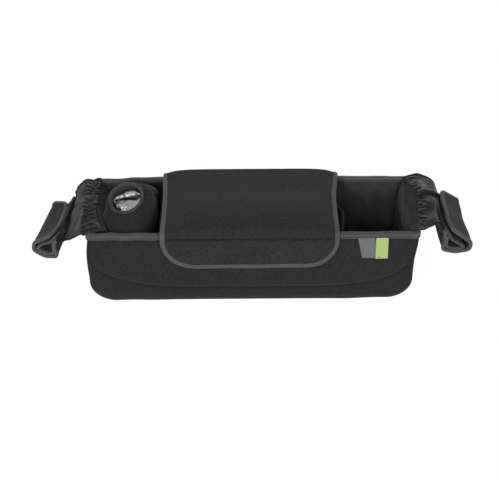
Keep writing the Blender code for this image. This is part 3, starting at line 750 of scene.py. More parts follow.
def panel_of_shell(side, name, node, seed):
    """Swelling in the middle, a dip at the seam, slack waves, and at the front the pulled creases."""
    points, from_seam, below_rim = panel_grid(side, 0.0)
    x, z = points[..., 0], points[..., 2]
    inside = smooth(from_seam / 0.012) * smooth(below_rim / 0.014)
    lift = 0.0010 * inside + 0.0007 * inside * waves(x, z, 0.075, seed)
    lift = lift - 0.0011 * np.exp(-(from_seam / 0.0022) ** 2)
    if side < 0:
        for start, end, width, height in FRONT_CREASES:
            lift = lift + height * crease(x, z, start, end, width)
    points[..., 1] += side * lift
    points = settle(points)
    return wall(name, points, normals(points), 0.0, WALL, KNIT, [node])


front_panel = panel_of_shell(-1, "front_panel", "shell_front", 21)
back_panel = panel_of_shell(1, "back_panel", "shell_back", 22)
print("panels", len(front_panel.data.polygons), len(back_panel.data.polygons), "faces")

# %% [markdown]
# ## Lining and dividers
#
# A thin lining follows the shell from inside and hangs a little slack. It could be a copy of the shell made
# smaller, but a smaller copy is wrong at the corners, so the shell's own functions are called with an
# inset. Two padded walls divide the tub. They are held only at their sides and foot, so the top of the
# right one leans over.


# %% Lining
LINING = 0.0008
LINING_INSET = WALL + 0.0008
LINING_FLOOR = WALL + 0.0032


def lining():
    """The shell's own shapes set in, with slack that only goes inwards and fades out at the rim."""
    points, across = strip_grid(LINING_INSET, LINING_FLOOR, LINING_SEAM, 200, 13, 14)
    normal = normals(points)
    flat = cloth_map(points)
    held = smooth((rim(points[..., 1]) - points[..., 2]) / 0.012) * smooth((1 - np.abs(across)) / 0.12)
    slack = 0.0019 * (1.2 + waves(flat[..., 0], flat[..., 1], 0.030, 31)) * held
    points = settle(points - normal * slack[..., None])
    made = [wall("strip_lining", points, normals(points), 0.0, LINING, LINING_CLOTH,
                 ["lining_gusset"])]
    for side, place, seed in ((-1, "front", 32), (1, "back", 33)):
        points, from_seam, below_rim = panel_grid(side, LINING_INSET, LINING_SEAM, 40, 140)
        points[..., 2] = np.maximum(points[..., 2], LINING_FLOOR + 0.0005)
        inside = smooth(from_seam / 0.008) * smooth(below_rim / 0.014)
        folds = waves(points[..., 0] + 0.3 * points[..., 2], points[..., 2] * 0.6, 0.024, seed)
        slack = 0.0022 * inside * (1.1 + folds)
        points[..., 1] -= side * slack
        points = settle(points)
        piece = wall(place + "_lining", points, normals(points), 0.0, LINING, LINING_CLOTH,
                     ["lining_" + place])
        made.append(piece)
    return made


lining_pieces = lining()
print("lining", [piece.name for piece in lining_pieces])


# %% Dividers
DIVIDER = 0.0035
DIVIDER_DROP = 0.013
DIVIDER_LEFT_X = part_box("divider_left")[0][0] + DIVIDER / 2
DIVIDER_RIGHT_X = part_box("divider_right")[0][0] + DIVIDER / 2
# How far the right wall's top leans and rises at even steps from its front to its back.
RIGHT_TOPS = [(0.0005, -0.0110), (0.0030, -0.0090), (0.0050, -0.0060), (0.0055, -0.0050), (0.0010, -0.0085),
              (-0.0030, -0.0120), (-0.0035, -0.0130), (-0.0035, -0.0130)]


def divider(name, node, x_place, tops, seed):
    """A padded wall: the foot follows the strip, the thickness rounds off at the top, the top edge leans."""
    depth = HALF_DEPTH - LINING_INSET - 0.0028
    columns = np.linspace(-1, 1, 90)[None]
    y = depth * columns
    corner = EDGE_DEPTH_BASE - LINING_INSET
    low = np.clip((np.abs(y) - (depth - corner)) / corner, 0, 1)
    foot = LINING_FLOOR + 0.0022 + corner * (1 - np.sqrt(1 - low ** 2 + 1e-9))
    edge = through(tops, (columns.ravel() + 1) / 2 * (len(tops) - 1))
    top = rim(y) + edge[None, :, 1]
    share = np.sin(np.linspace(0, 1, 50) * np.pi / 2)[:, None]
    z = foot + (top - foot) * share
    lean = edge[None, :, 0] * smooth((share - 0.45) / 0.55) ** 1.6
    lift = 0.0010 * waves(y, z, 0.05, seed) * smooth(share * 3) * smooth((1 - np.abs(columns)) * 6)
    points = np.stack(np.broadcast_arrays(x_place + lean + lift, y, z), -1)
    round_top = np.sqrt(np.clip(1 - (1 - np.clip((top - z) / 0.0022, 0, 1)) ** 2, 0, 1))
    half = DIVIDER / 2 * np.maximum(round_top, 0.08)
    return wall(name, points, normals(points), half, half, KNIT, [node])


left_wall = divider("left_wall", "divider_left", DIVIDER_LEFT_X, [(0.0, -DIVIDER_DROP)] * 4, 41)
right_wall = divider("right_wall", "divider_right", DIVIDER_RIGHT_X, RIGHT_TOPS, 42)
print("dividers at", round(DIVIDER_LEFT_X, 4), round(DIVIDER_RIGHT_X, 4))

# %% [markdown]
# ## Binding tape
#
# A raw edge of padded cloth is closed by a tape folded over it and stitched through. In section the tape is
# a U with a rounded nose, and a stitched groove presses into each leg. A curve with a bevel would give a
# round cord, not a tape. So a drawn section is carried along each edge, which makes the rim tape, the lid's
# edge and the straps' edges, each with its own row of stitches.

# %% Path and section of the rim tape
TAPE_THICKNESS = 0.0008
RIM_DEPTH = 0.0054
RIM_INNER_DEPTH = 0.0036
RIM_OUT = 0.0012
RIM_IN = 0.0056
RIM_TOP = 0.0024


def rim_path(count):
    """Once round the rim in plan, with the strip's rounded ends as corners. Rows are evenly spaced."""
    turn = np.linspace(0, np.pi / 2, 9)
    corners = []
    for side_x, side_y, ways in ((1, -1, 1), (1, 1, -1), (-1, 1, 1), (-1, -1, -1)):
        y_edge = side_y * HALF_DEPTH
        end = half_length(y_edge)
        ease_x, ease_y = np.sin(turn)[::ways], np.cos(turn)[::ways]
        corners.append(np.stack([side_x * (end - SEAM_INSET * 1.4 * (1 - ease_x)),
                                 y_edge - side_y * EDGE_DEPTH_END * (1 - ease_y)], -1))
    outline = np.concatenate([*corners, corners[0][:1]])
    away = np.concatenate([[0.0], np.cumsum(np.linalg.norm(np.diff(outline, axis=0), axis=-1))])
    even = np.linspace(0, away[-1], count, endpoint=False)
    flat = np.stack([np.interp(even, away, outline[:, i]) for i in range(2)], -1)
    return np.concatenate([flat, rim(flat[:, 1])[:, None]], -1)


def rim_section():
    """The tape's section as (inwards, up) from the rim: lip, groove, swell, dome and the same down inside."""
    leg = np.array([(0.0004, -1.0), (-0.0002, -0.94), (-0.0004, -0.85), (-0.0001, -0.76), (0.0008, -0.66),
                    (0.0009, -0.60), (0.0001, -0.48), (-0.0005, -0.30), (-0.0005, -0.05)])
    angle = np.linspace(np.pi * 0.94, np.pi * 0.06, 9)
    middle, half = (RIM_IN - RIM_OUT) / 2, (RIM_IN + RIM_OUT) / 2
    dome = np.stack([middle + half * np.cos(angle), 0.0004 + (RIM_TOP - 0.0004) * np.sin(angle)], -1)
    outside = leg * [1, RIM_DEPTH] + [-RIM_OUT, 0]
    inside = leg[::-1] * [-1, RIM_INNER_DEPTH] + [RIM_IN, 0]
    outer = np.concatenate([outside, dome, inside])
    across = unit(np.stack([-np.gradient(outer[:, 1]), np.gradient(outer[:, 0])], -1))
    return np.concatenate([outer, (outer - across * TAPE_THICKNESS)[::-1]])


print("rim section", len(rim_section()), "points")


# %% Rim tape and its stitches
def rim_tape():
    """The section carried once round the rim, leaning a little to and fro as a sewn tape does."""
    path = rim_path(640)
    way = unit(differences(path, 0, True) * [1, 1, 0])
    inwards = np.cross([0, 0, 1.0], way)
    section = rim_section()
    sway = 0.00035 * waves(path[:, 0], path[:, 1], 0.05, 51)
    rise = 0.0003 * waves(path[:, 0], path[:, 1], 0.035, 52)
    a = section[None, :, 0, None] + sway[:, None, None]
    b = section[None, :, 1, None] + rise[:, None, None]
    points = path[:, None] + inwards[:, None] * a + np.array([0, 0, 1.0]) * b
    points = settle(points)
    groove = (points[:, 4] + points[:, 5]) / 2
    piece = band("rim_edge", points, TAPE, ["rim_tape"], loop=True)
    # These dark stitches also stand for the shaded holes along the groove: painted shade.
    stitches("rim_stitches", groove, -inwards, DARK_THREAD_AND_PIT_SHADE, 0.0029, 0.0020, 0.00030)
    return piece


rim_edge = rim_tape()
print("rim tape", len(rim_edge.data.polygons), "faces")


# %% Flaps: sheets with two round corners and a bound edge
class Flap:
    """A sheet whose middle surface is a function of side and along, in metres, with two round far corners."""

    def __init__(self, surface, width, length, corner_width, corner_length, power=2.2, flip=1.0):
        self.surface = surface
        self.width, self.length = width, length
        self.corner_width, self.corner_length = corner_width, corner_length
        self.power, self.flip = power, flip

    def half(self, along):
        """Half the width: full until the corners start, then a quarter of a superellipse on each side."""
        in_corner = np.clip((along - self.length + self.corner_length) / self.corner_length, 0, 1)
        return self.width / 2 - self.corner_width * (1 - (1 - in_corner ** self.power) ** (1 / self.power))

    def normal(self, side, along, step=0.0004):
        """The surface's way down crossed with its way across, both from central differences."""
        across = self.surface(side + step, along) - self.surface(side - step, along)
        down = self.surface(side, along + step) - self.surface(side, along - step)
        return unit(np.cross(down, across)) * self.flip

    def grid(self, rows, columns, corner_rows=26, start=0.0):
        """Middle points, normals and distance to the edge. Rows bunch up at the far end."""
        turn = np.sin(np.linspace(0, np.pi / 2, corner_rows)) ** (2 / self.power)
        straight = np.linspace(start, self.length - self.corner_length, rows)
        along = np.concatenate([straight[:-1], self.length - self.corner_length * (1 - turn)])[:, None]
        even = np.linspace(-1, 1, columns)[None]
        share = 0.6 * even + 0.4 * np.sin(even * np.pi / 2)
        side = share * self.half(along)
        along = np.broadcast_to(along, side.shape)
        edge = np.minimum(self.half(along) - np.abs(side), self.length - along)
        return self.surface(side, along), self.normal(side, along), edge

    def rim(self, count, start=0.0, inset=0.0):
        """Points, inward directions and normals along both sides and the far end, evenly spaced."""
        turn = np.linspace(0, np.pi / 2, 30)
        down = np.linspace(start, self.length - self.corner_length, 60)[:-1]
        corner_side = self.width / 2 - self.corner_width * (1 - np.cos(turn) ** (2 / self.power))
        corner_along = self.length - self.corner_length * (1 - np.sin(turn) ** (2 / self.power))
        half = np.concatenate([np.full(len(down), self.width / 2), corner_side])
        reach = np.concatenate([down, corner_along])
        side = np.concatenate([-half, half[::-1]])
        reach = np.concatenate([reach, reach[::-1]])
        away = np.concatenate([[0.0], np.cumsum(np.hypot(np.diff(side), np.diff(reach)))])
        even = np.linspace(0, away[-1], count)
        side, reach = np.interp(even, away, side), np.interp(even, away, reach)
        way = unit(np.stack([np.gradient(side), np.gradient(reach)], -1))
        in_side, in_along = way[:, 1], -way[:, 0]
        side, reach = side + in_side * inset, reach + in_along * inset
        point = self.surface(side, reach)
        inward = unit(self.surface(side + in_side * 0.0005, reach + in_along * 0.0005) - point)
        return point, inward, self.normal(side, reach)


print("flap helper ready")


# %% Bound edges
def bound_section(width, inside, thick):
    """A folded tape's section as (inwards, up): two legs, a pressed groove near each lip and a round nose."""
    top = inside + thick
    leg = np.array([(1, 0.80), (0.93, 1), (0.80, 0.97), (0.68, 0.86), (0.55, 1.02), (0.33, 1.08)])
    leg = leg * [width, top]
    angle = np.linspace(np.radians(72), np.radians(-72), 9)
    nose = np.stack([0.0010 - (0.0010 + thick * 1.2) * np.cos(angle), top * 1.04 * np.sin(angle)], -1)
    outer = np.concatenate([leg, nose, leg[::-1] * [1, -1]])
    nose_wall = np.where(outer[:, 0] < 0.0012, thick, 0.0)
    inner = np.stack([outer[:, 0] + nose_wall, outer[:, 1] * inside / top * 0.92], -1)
    return np.concatenate([outer, inner[::-1]])


def bind(name, flap, count, width, inside, thick, node, seed, start=0.0, stitch=GREY_THREAD, pitch=0.0028):
    """The folded tape carried along a flap's free edge, with a row of stitches in the groove of one leg."""
    point, inward, normal = flap.rim(count, start)
    section = bound_section(width, inside, thick)
    uneven = 0.00025 * waves(np.arange(count) * 0.001, np.zeros(count), 0.03, seed)
    in_by, up_by = section[None, :, 0, None], section[None, :, 1, None]
    in_by = in_by + uneven[:, None, None] * (in_by > 0.001)
    points = point[:, None] + inward[:, None] * in_by + normal[:, None] * up_by
    piece = band(name, points, TAPE, [node] if node else ())
    stitches(name + "_stitches", points[:, 3], normal, stitch, pitch)
    return piece


print("a bound edge has", len(bound_section(0.005, 0.00145, TAPE_THICKNESS)), "points in its section")

# %% [markdown]
# ## The lid
#
# The lid is one padded flap. It is sewn low behind the back rim, rises over it, crowns over the middle of
# the tub and folds down over the front, where a stitched groove lets it fold. A plane could be bent by a
# modifier, but two bends and a crown are hard to set apart that way. So its surface is a path in the YZ
# plane with rounded corners, carried along X, plus the crown, the slack and the groove, each a term of its
# own.


# %% Paths with rounded corners
def rounded_path(corners, radii, count):
    """Straight runs joined by arcs, as evenly spaced points, and their length.

    An arc is start + r (sin a · way + (1 - cos a) · side).
    """
    corners = [np.array(corner, dtype=float) for corner in corners]
    line = [corners[0][None]]
    for before, corner, after, radius in zip(corners, corners[1:], corners[2:], radii[1:-1]):
        way, leave = unit(corner - before), unit(after - corner)
        turn = np.arccos(np.clip(way @ leave, -1, 1))
        side = unit(leave - way * (way @ leave))
        start = corner - way * radius * np.tan(turn / 2)
        angle = np.linspace(0, turn, 16)[:, None]
        line.append(start + radius * (np.sin(angle) * way + (1 - np.cos(angle)) * side))
    line = np.concatenate([*line, corners[-1][None]])
    away = np.concatenate([[0.0], np.cumsum(np.linalg.norm(np.diff(line, axis=0), axis=-1))])
    even = np.linspace(0, away[-1], count)
    return np.stack([np.interp(even, away, line[:, i]) for i in range(2)], -1), away[-1]


# %% Lid surface
LID_WIDTH = 0.222
LID_THICKNESS = 0.004
LID_BACK_Y = HALF_DEPTH + 0.0045
LID_FRONT_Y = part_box("lid")[0][1] + LID_THICKNESS / 2
LID_FRONT_Z = RIM_FRONT + 0.00665
LID_GROOVE_Z = 0.0985
LID_GROOVE_HALF = 0.104
LID_DROP = 0.0488
LID_CROWN = 0.007
LID_CORNER = (0.046, 0.040)
LID_TAPE_START = 0.033
# The lid's stitches are large dark spindles that also stand for the shaded holes along its fold: painted
# shade.
LID_STITCHES = dict(pitch=0.0038, length=0.0026, thick=0.0007)
LID_DEPTHS = [0.0, 0.15, 0.40, 0.75, 0.95, 1.0]
LID_LEFT_PULL = [0.0002, 0.0008, 0.0020, 0.0018, 0.0008, 0.0004]
LID_RIGHT_PULL = [0.0010, 0.0022, 0.0060, 0.0062, 0.0056, 0.0054]
lid_path, lid_length = rounded_path(
    [(LID_BACK_Y, RIM_BACK - 0.030), (LID_BACK_Y, RIM_BACK + 0.00915), (LID_FRONT_Y, LID_FRONT_Z),
     (LID_FRONT_Y, LID_FRONT_Z - LID_DROP)], [0, 0.009, 0.009, 0], 240)
LID_GROOVE = lid_length - (LID_GROOVE_Z - (LID_FRONT_Z - LID_DROP))


def lid_surface(side, along):
    """The path read at along, plus a crown, a hump behind it, slack waves and the fold's groove.

    The crown is height · (1 - (2 side / width)⁴) · sin(pi · depth²), depth 0 behind and 1 in front.
    """
    share = along / lid_length * (len(lid_path) - 1)
    y = np.interp(share, np.arange(len(lid_path)), lid_path[:, 0]) + np.zeros_like(side)
    z = np.interp(share, np.arange(len(lid_path)), lid_path[:, 1]) + np.zeros_like(side)
    depth = np.clip((LID_BACK_Y - y) / (LID_BACK_Y - LID_FRONT_Y), 0, 1)
    reach = np.clip(2 * side / LID_WIDTH, -1, 1)
    x = side - along_knots(depth, LID_DEPTHS, LID_RIGHT_PULL) * smooth((reach - 0.3) / 0.7)
    x = x + along_knots(depth, LID_DEPTHS, LID_LEFT_PULL) * smooth((-reach - 0.3) / 0.7)
    crown = LID_CROWN * (1 - reach ** 4) * np.sin(np.pi * depth ** 2)
    hump = (0.0021 - 0.0066 * np.abs(reach) ** 8) * (1 - smooth((depth - 0.05) / 0.5))
    crown = crown + hump * smooth((z - RIM_BACK) / 0.006)
    slack = 0.0009 * waves(side, along, 0.10, 61) * smooth((along - 0.035) / 0.02)
    groove = 0.0015 * np.exp(-((along - LID_GROOVE) / 0.0019) ** 2) * smooth((0.108 - np.abs(side)) / 0.004)
    puff = 0.0006 * np.exp(-((np.abs(along - LID_GROOVE) - 0.0055) / 0.0035) ** 2)
    front = smooth((along - lid_length + 0.050) / 0.010)
    out = (puff - groove) * front
    return np.stack([x, y - out + slack * front * -0.8, z + crown + slack * (1 - front)], -1)


print("lid path", round(lid_length, 4), "m long, groove at", round(LID_GROOVE, 4))


# %% Lid
lid = Flap(lid_surface, LID_WIDTH, lid_length, *LID_CORNER)
middle, normal, edge = lid.grid(130, 112)
half = 0.0013 + 0.0007 * smooth(edge / 0.016)
lid_cloth = wall("lid_cloth", middle, normal, half, half, LID_KNIT, ["lid"])
bind("lid_edge", lid, 480, 0.0050, 0.00145, TAPE_THICKNESS, "lid_binding", 62, start=LID_TAPE_START)
groove_side = np.linspace(-LID_GROOVE_HALF, LID_GROOVE_HALF, 300)
groove_along = np.full_like(groove_side, LID_GROOVE)
groove_normal = lid.normal(groove_side, groove_along)
groove_line = lid_surface(groove_side, groove_along) + groove_normal * 0.0021
stitches("lid_stitches", groove_line, groove_normal, DARK_THREAD_AND_PIT_SHADE, **LID_STITCHES)
print("lid", len(lid_cloth.data.polygons), "faces")

# %% [markdown]
# ## Wrap straps
#
# Each strap is a wide padded band that turns round a handlebar and closes on itself. One section carried
# straight across would make a plain roll, but the real loop tapers and leans. So its section is drawn once
# at the near edge and once at the far edge, and the band blends from one to the other. A second ply with
# the hooks lies inside it. Both plies are flaps with bound edges, as the lid is.

# %% Sections of the straps
STRAP_THICKNESS = 0.0024
SECTION_ROWS = 200
OUTER_RADII = [0, 0.006, 0.006, 0.005, 0.012, 0.006, 0.006, 0.010, 0]
INNER_RADII = [0, 0.005, 0.010, 0.0025, 0.008, 0.008, 0]
# Sections are (out, up) from the strap's top corner, and across runs from there along its upper edge.
STRAPS = {
    "left": dict(
        top=(-HALF_LENGTH - 0.0414, -0.0370, 0.0771), across=(0.0187, 0.0685, 0.0241), sign=-1, bulge=0.0055,
        near=[(0, 0), (0.0042, -0.0070), (0.0034, -0.0200), (0.0010, -0.0325), (0.0195, -0.0368),
              (0.0330, -0.0280), (0.0300, -0.0150), (0.0105, 0.0040), (0.0078, 0.0080)],
        far=[(0, 0), (0.0030, -0.0060), (0.0030, -0.0160), (0.0010, -0.0270), (0.0180, -0.0310),
             (0.0295, -0.0240), (0.0290, -0.0175), (0.0160, -0.0145), (0.0107, -0.0130)],
        inner_near=[(0.0062, -0.0120), (0.0058, -0.0275), (0.0160, -0.0330), (0.0293, -0.0262),
                    (0.0197, -0.0132), (0.0085, -0.0064), (0.0046, 0.0024)],
        inner_far=[(0.0055, -0.0090), (0.0050, -0.0230), (0.0140, -0.0272), (0.0260, -0.0225),
                   (0.0180, -0.0175), (0.0080, -0.0142), (0.0030, -0.0122)]),
    "right": dict(
        top=(HALF_LENGTH + 0.0374, -0.0370, 0.0892), across=(-0.0113, 0.0705, 0.0230), sign=1, bulge=0.0030,
        near=[(0, 0), (0.0032, -0.0120), (0.0034, -0.0225), (0.0012, -0.0385), (0.0180, -0.0462),
              (0.0370, -0.0452), (0.0384, -0.0322), (0.0121, -0.0026), (0.0088, 0.0048)],
        far=[(0, 0), (0.0030, -0.0120), (0.0030, -0.0220), (0.0020, -0.0370), (0.0180, -0.0440),
             (0.0368, -0.0430), (0.0390, -0.0312), (0.0210, -0.0155), (0.0146, -0.0092)],
        inner_near=[(0.0065, -0.0150), (0.0060, -0.0345), (0.0160, -0.0420), (0.0325, -0.0420),
                    (0.0123, -0.0222), (0.0080, -0.0120), (0.0040, -0.0035)],
        inner_far=[(0.0060, -0.0150), (0.0056, -0.0330), (0.0150, -0.0395), (0.0318, -0.0385),
                   (0.0180, -0.0225), (0.0120, -0.0160), (0.0072, -0.0106)]),
}

print("strap tops at", {name: np.round(strap["top"], 4).tolist() for name, strap in STRAPS.items()})


# %% Both plies of each strap
def strap_flap(strap, near, far, radii, narrower, seed):
    """A flap: the near and far sections blended by the share across, along the strap's own directions."""
    near, near_length = rounded_path(near, radii, SECTION_ROWS)
    far, far_length = rounded_path(far, radii, SECTION_ROWS)
    length = (near_length + far_length) / 2
    across = np.array(strap["across"])
    width = np.linalg.norm(across)
    way = across / width
    out = np.array([strap["sign"], 0, 0.0])
    out = unit(out - way * (out @ way))
    rise = unit(np.array([0, 0, 1.0]) - way * way[2] - out * out[2])
    top = np.array(strap["top"])

    def surface(side, along):
        share = side / width + 0.5
        row = along / length * (SECTION_ROWS - 1)
        rows = np.arange(SECTION_ROWS)
        u, v = (np.interp(row, rows, near[:, i]) * (1 - share) + np.interp(row, rows, far[:, i]) * share
                for i in range(2))
        slack = 0.0006 * waves(side, along, 0.05, seed) * smooth((along - 0.012) / 0.02)
        u = u - strap["bulge"] * 4 * share * (1 - share) * smooth((along / length - 0.72) / 0.28)
        return top + way * (share * width)[..., None] + out * (u + slack)[..., None] + rise * v[..., None]

    return Flap(surface, width - narrower, length, 0.0065, 0.0065, 2.0, -strap["sign"])


def strap_pieces(name, strap, seed):
    """Both plies of a strap with their bound edges."""
    flap = strap_flap(strap, strap["near"], strap["far"], OUTER_RADII, 0.0, seed)
    middle, normal, edge = flap.grid(90, 50, 12)
    half = STRAP_THICKNESS / 2 * (0.75 + 0.25 * smooth(edge / 0.008))
    outer = wall("strap_cloth_" + name, middle, normal, half, half, WEBBING, ["strap_" + name])
    bind("strap_edge_" + name, flap, 240, 0.0042, 0.00125, 0.0007, "strap_tape_" + name, seed + 1)
    ply = strap_flap(strap, strap["inner_near"], strap["inner_far"], INNER_RADII, 0.0030, seed + 3)
    middle, normal, edge = ply.grid(76, 34, 10)
    inner = wall("strap_hooks_" + name, middle, normal, 0.0010, 0.0010, PILE,
                 ["strap_hook_" + name])
    bind("strap_hook_edge_" + name, ply, 200, 0.0038, 0.00115, 0.0006, None, seed + 2)
    return flap, outer, ply, inner


straps = {name: strap_pieces(name, strap, seed) for (name, strap), seed in zip(STRAPS.items(), (71, 81))}
print("straps", {name: round(made[0].length, 4) for name, made in straps.items()}, "m long")

# %% [markdown]
# ## Gathered wings
#
# A wing joins each end of the tub to its strap. It is a coated cloth, longer than the edge it is sewn to,
# so it stands in gathers. A simulation could gather it, but the end lines would have to be pulled into
# place by hand. So its four sides are curves in space, a Coons patch fills them, and the gathers are ridges
# that start at the rim and die out towards the strap. A facing of brushed cloth hides the wing's seam from
# inside; its cloth is darker than the lining as painted shade between the wing and the pocket.

# %% Edges of the wings
WING_THICKNESS = 0.0010
WINGS = {
    "left": dict(hem=[(-0.2086, -0.058, 0.0990), (-0.222, -0.05, 0.0890), (-0.2323, -0.043, 0.0812)],
                 back=[(-0.2096, 0.058, 0.1112), (-0.2179, 0.052, 0.1070), (-0.221, 0.043, 0.1022)],
                 seam=[(-0.1808, -0.0541, 0.1014), (-0.1873, -0.0352, 0.1031), (-0.1931, -0.0030, 0.1060),
                       (-0.1943, 0.0299, 0.1085), (-0.1933, 0.0569, 0.1090)]),
    "right": dict(hem=[(0.2107, -0.056, 0.1021), (0.2199, -0.049, 0.1036), (0.2290, -0.0425, 0.1022)],
                  back=[(0.2117, 0.060, 0.1157), (0.2274, 0.052, 0.1111), (0.2306, 0.045, 0.1076)],
                  seam=[(0.2005, -0.0595, 0.1029), (0.2032, -0.0386, 0.1050), (0.2054, -0.0163, 0.1072),
                        (0.2071, 0.0096, 0.1095), (0.2044, 0.0204, 0.1104), (0.1994, 0.0354, 0.1118),
                        (0.1948, 0.0547, 0.1130)]),
}

print("wing seams drawn through", {name: len(wing["seam"]) for name, wing in WINGS.items()}, "points")


# %% Gathers and guide lines
def ridges(v, u, seed, count, width):
    """Gathers: seeded bell-shaped ridges across v that drift a little as u grows."""
    total = np.zeros(np.broadcast(v, u).shape)
    for place, drift, height, spread in np.random.default_rng(seed).random((count, 4)):
        centre = place + (drift - 0.5) * 0.22 * u
        total += (0.4 + 0.6 * height) * np.exp(-((v - centre) / (width * (0.6 + 0.9 * spread))) ** 2)
    return total


def over_rim(sign, y, inwards, above):
    """A line that follows an end's rim as it leans and sags, set inwards and above the rim."""
    return settle(np.stack([sign * (half_length(y) - inwards), y, rim(y)], -1)) + np.array([0, 0, above])


def wing_guides(name, v):
    """Lines from the tuck inside, over the rim on the left, and across a Coons patch out to the strap.

    The patch is start · (1 - u) + line · u, plus the hem and back edges blended by v, minus the blend of the
    four corners. A valley near the strap lets the cloth hang between its edges.
    """
    wing, strap = WINGS[name], STRAPS[name]
    sign = strap["sign"]
    y = -0.0600 + 0.1205 * v
    seam = through(wing["seam"], v * (len(wing["seam"]) - 1))
    line = np.array(strap["top"]) + np.array(strap["across"]) * v[:, None]
    line = line + np.array([-sign * 0.0026, 0, 0.0002])
    if sign < 0:
        ease = (0.0010 * smooth((v - 0.75) / 0.25) - 0.0018 * (1 - smooth(v / 0.14)))[:, None] * [0, 0, 1.0]
        guides = [seam + [0.0004, 0, -0.0035], seam, over_rim(sign, y, 0.0050, 0.0032) + ease,
                  over_rim(sign, y, 0.0010, 0.0034) + ease, over_rim(sign, y, -0.0042, 0.0014) + ease]
    else:
        guides = [seam + [0.0008, 0, -0.004], seam]
    start = guides[-1]
    hem = through([start[0], *wing["hem"], line[0]], np.linspace(0, 4, 9))
    back = through([start[-1], *wing["back"], line[-1]], np.linspace(0, 4, 9))
    first = len(guides) - 1
    for i in range(1, 9):
        u = i / 8
        across = start * (1 - u) + line * u
        ends = hem[i] * (1 - v[:, None]) + back[i] * v[:, None]
        corners = across[0] * (1 - v[:, None]) + across[-1] * v[:, None]
        valley = 0.0042 * np.exp(-((u - 0.78) / 0.22) ** 2) * np.sin(np.pi * v) ** 0.5
        guides.append(across + ends - corners - valley[:, None] * [0, 0, 1.0])
    guides.append(line + [0, 0, -0.0070])
    return np.array(guides), first, sign


print("guide lines", {name: len(wing_guides(name, np.zeros(2))[0]) for name in WINGS})


# %% A wing
GATHER_HEIGHT = 0.0009
PUCKER_HEIGHT = 0.0006
SLACK_HEIGHT = 0.0010
FOLD_HEIGHT = 0.0036
HEM_STITCH_ROW = 6
HEM_STITCH_END = -14
# The seam's stitches lie this many guide lines out from the first one.
SEAM_STITCH_GUIDE = 1.15


def wing_pieces(name, seed, rows=176, columns=88):
    """The wing with gathers, puckers, slack and rolled hems, its two rows of stitches, and its seam line."""
    v = np.linspace(0, 1, rows)
    guides, first, sign = wing_guides(name, v)
    place = np.linspace(0, len(guides) - 1, columns)
    points = through(guides, place).transpose(1, 0, 2)
    u = np.clip((place - first) / 8, -0.5, 1)[None]
    v = v[:, None]
    flat = cloth_map(points)
    normal = normals(points)
    normal = normal * np.sign(normal[..., 2].mean())
    seam_on = smooth((place[None] - 1.0) / (1.4 if sign < 0 else 0.7))
    near_rim = seam_on * (1 - smooth((u - 0.04) / 0.30))
    held = smooth(np.minimum(v, 1 - v) / 0.07)
    gathers = ridges(v, u, seed, 30, 0.010)
    gathers = (gathers - 0.45 * gathers.mean()) * held
    small = waves(flat[..., 0], flat[..., 1], 0.0075, seed + 2, 12)
    broad = waves(flat[..., 0] * 1.6, flat[..., 1], 0.034, seed + 1)
    lift = (GATHER_HEIGHT * gathers + PUCKER_HEIGHT * small * held) * near_rim
    lift = lift + SLACK_HEIGHT * broad * smooth(u / 0.3) * (1 - smooth((u - 0.8) / 0.2))
    if sign > 0:
        ahead = (v - 0.56 - 0.26 * smooth(u)) / 0.5
        fold = np.where(ahead > 0, np.exp(-(ahead / 0.34) ** 2), np.exp(-(ahead / 0.035) ** 2))
        lift = lift + FOLD_HEIGHT * fold * smooth(u / 0.10) * (1 - 0.5 * smooth((u - 0.8) / 0.2))
    points = points + normal * lift[..., None]
    normal = normals(points)
    normal = normal * np.sign(normal[..., 2].mean())
    rolled = 0.0009 * np.exp(-(np.minimum(v, 1 - v) * 0.12 / 0.0022) ** 2)
    half = WING_THICKNESS / 2 + rolled + 0 * u
    piece = wall("wing_cloth_" + name, points, normal, half, half, COATED, ["wing_" + name])
    inner = int(columns * SEAM_STITCH_GUIDE / (len(guides) - 1))
    hem, seam = (HEM_STITCH_ROW, slice(inner, HEM_STITCH_END)), (slice(None), inner)
    for label, place in (("hem", hem), ("seam", seam)):
        way = normal[place]
        line = points[place] + way * 0.0006
        stitches("wing_" + label + "_stitches_" + name, line, way, DARK_THREAD_AND_PIT_SHADE, 0.003, 0.0022, 0.00028)
    return piece, guides[1]


print("wing helper ready")


# %% Facings, and both wings
FACING_HALF = 0.0005


